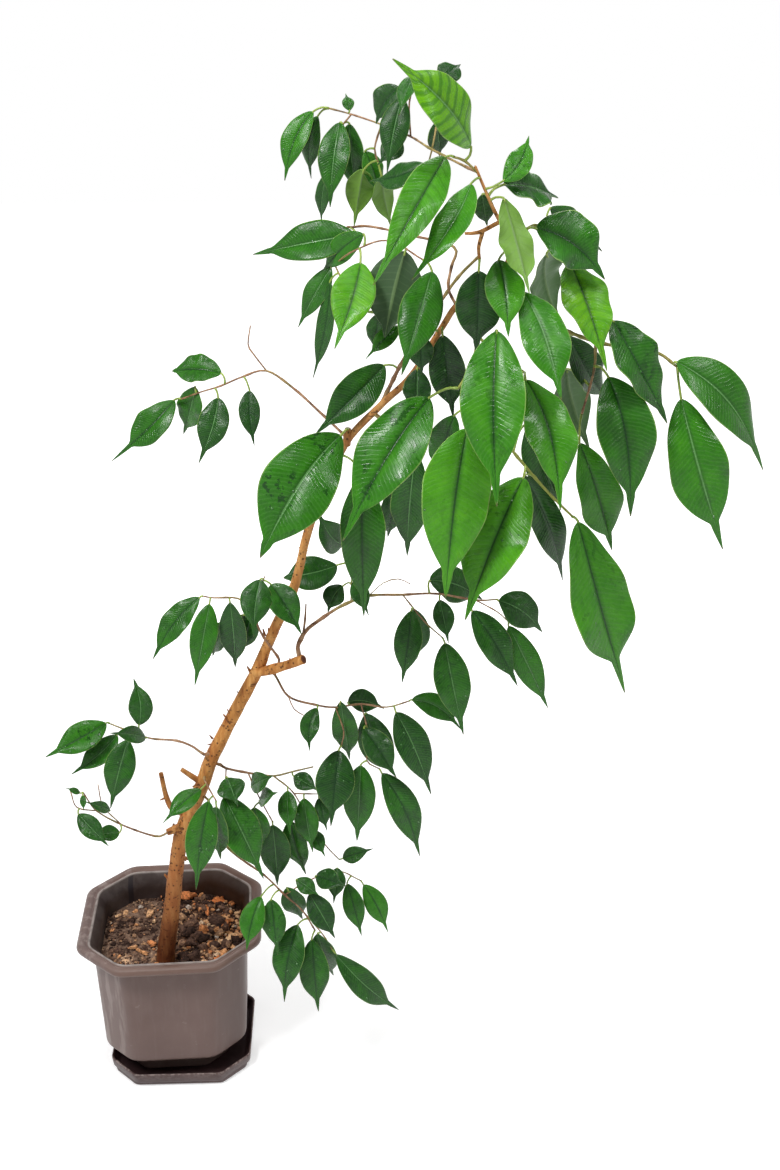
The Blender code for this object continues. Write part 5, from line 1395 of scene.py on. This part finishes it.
# The lamps: name, place, what they aim at, side in metres and power in watts.
LAMPS = [
    ("key", (-0.7, -0.9, 1.9), (0.15, -0.15, 0.45), 0.42, 24),
    ("fill", (1.3, -0.8, 1.7), (0.15, -0.1, 0.45), 0.35, 7),
    ("top", (0.35, -0.75, 2.1), (0.2, -0.15, 0.6), 0.24, 8),
    ("back", (0.3, 1.2, 1.9), (0.15, 0, 0.5), 0.8, 12),
]

CAMERA_PLACE = (0.108, -1.0445, 0.8685)
CAMERA_DOWN = 22.35        # degrees it looks down
CAMERA_RIGHT = 4.4         # degrees it looks to the right
CAMERA_LENS = 43.08        # millimetres, on a sensor 36 mm wide


def keep(piece, node):
    """The piece is part of the object and stands for a CAD node."""
    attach(piece, "root")
    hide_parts(node)


def seen_rays(tree):
    """1 for what the camera sees, also in reflections and through glass."""
    rays = tree.nodes.new("ShaderNodeLightPath")
    seen = rays.outputs["Is Camera Ray"]
    for kind in ("Is Glossy Ray", "Is Transmission Ray"):
        either = tree.nodes.new("ShaderNodeMath")
        either.operation = "MAXIMUM"
        tree.links.new(seen, either.inputs[0])
        tree.links.new(rays.outputs[kind], either.inputs[1])
        seen = either.outputs[0]
    return seen


def make_floor():
    bpy.ops.mesh.primitive_plane_add(size=FLOOR_SIZE, location=(0, 0, -FLOOR_GAP))
    floor = bpy.context.object
    floor.name = "floor"
    n = Nodes("floor_white", 0.9, Specular_IOR_Level=0.0)
    n.colour((0.85, 0.85, 0.85, 1))
    n.shader.inputs["Emission Color"].default_value = (1, 1, 1, 1)
    reach = n.add("ShaderNodeVectorMath", operation="LENGTH")
    n.put(n.place(), reach.inputs[0])
    lift = n.fade(reach.outputs["Value"], *LIFT_REACH, *FLOOR_LIFT)
    n.put(n.times(lift, seen_rays(n.tree)), n.shader.inputs["Emission Strength"])
    floor.data.materials.append(n.material)


def make_world():
    world = bpy.data.worlds.new("studio")
    bpy.context.scene.world = world
    world.use_nodes = True
    tree = world.node_tree
    backdrop = tree.nodes["Background"]
    backdrop.inputs["Color"].default_value = (1, 1, 1, 1)
    height = tree.nodes.new("ShaderNodeSeparateXYZ")
    towards = tree.nodes.new("ShaderNodeTexCoord").outputs["Generated"]
    tree.links.new(towards, height.inputs[0])
    cove = tree.nodes.new("ShaderNodeMapRange")
    tree.links.new(height.outputs["Z"], cove.inputs["Value"])
    for socket, value in zip(("From Min", "From Max", "To Min", "To Max"), COVE):
        cove.inputs[socket].default_value = value
    level = tree.nodes.new("ShaderNodeMapRange")
    tree.links.new(seen_rays(tree), level.inputs["Value"])
    level.inputs["To Min"].default_value = WORLD_LIGHT
    tree.links.new(cove.outputs["Result"], level.inputs["To Max"])
    tree.links.new(level.outputs["Result"], backdrop.inputs["Strength"])


def make_light(name, place, target, size, power):
    data = bpy.data.lights.new(name, "AREA")
    data.shape = "SQUARE"
    data.size = size
    data.energy = power
    light = bpy.data.objects.new(name, data)
    bpy.context.scene.collection.objects.link(light)
    light.location = place
    aim = Vector(target) - Vector(place)
    light.rotation_euler = aim.to_track_quat("-Z", "Y").to_euler()


def make_camera():
    data = bpy.data.cameras.new("camera")
    data.sensor_width = 36.0
    data.lens = CAMERA_LENS
    camera = bpy.data.objects.new("camera", data)
    bpy.context.scene.collection.objects.link(camera)
    camera.location = CAMERA_PLACE
    camera.rotation_euler = (math.radians(90 - CAMERA_DOWN), 0, math.radians(-CAMERA_RIGHT))
    bpy.context.scene.camera = camera


def main():
    bpy.context.scene.view_settings.view_transform = "Standard"
    make_camera()
    make_world()
    make_floor()
    for lamp in LAMPS:
        make_light(*lamp)
    make_saucer(saucer_plastic())
    make_pot(pot_plastic())
    make_soil_bed(soil_material())
    make_soil_bits(soil_bit_material())
    leaf_materials = [leaf_top(), leaf_under(), leaf_stalk(), water_drop()]
    twig = twig_bark()
    routes = make_trunk(bark_material(), twig)
    make_canopy(routes, leaf_materials)
    make_shoots(routes, leaf_materials, twig)


main()
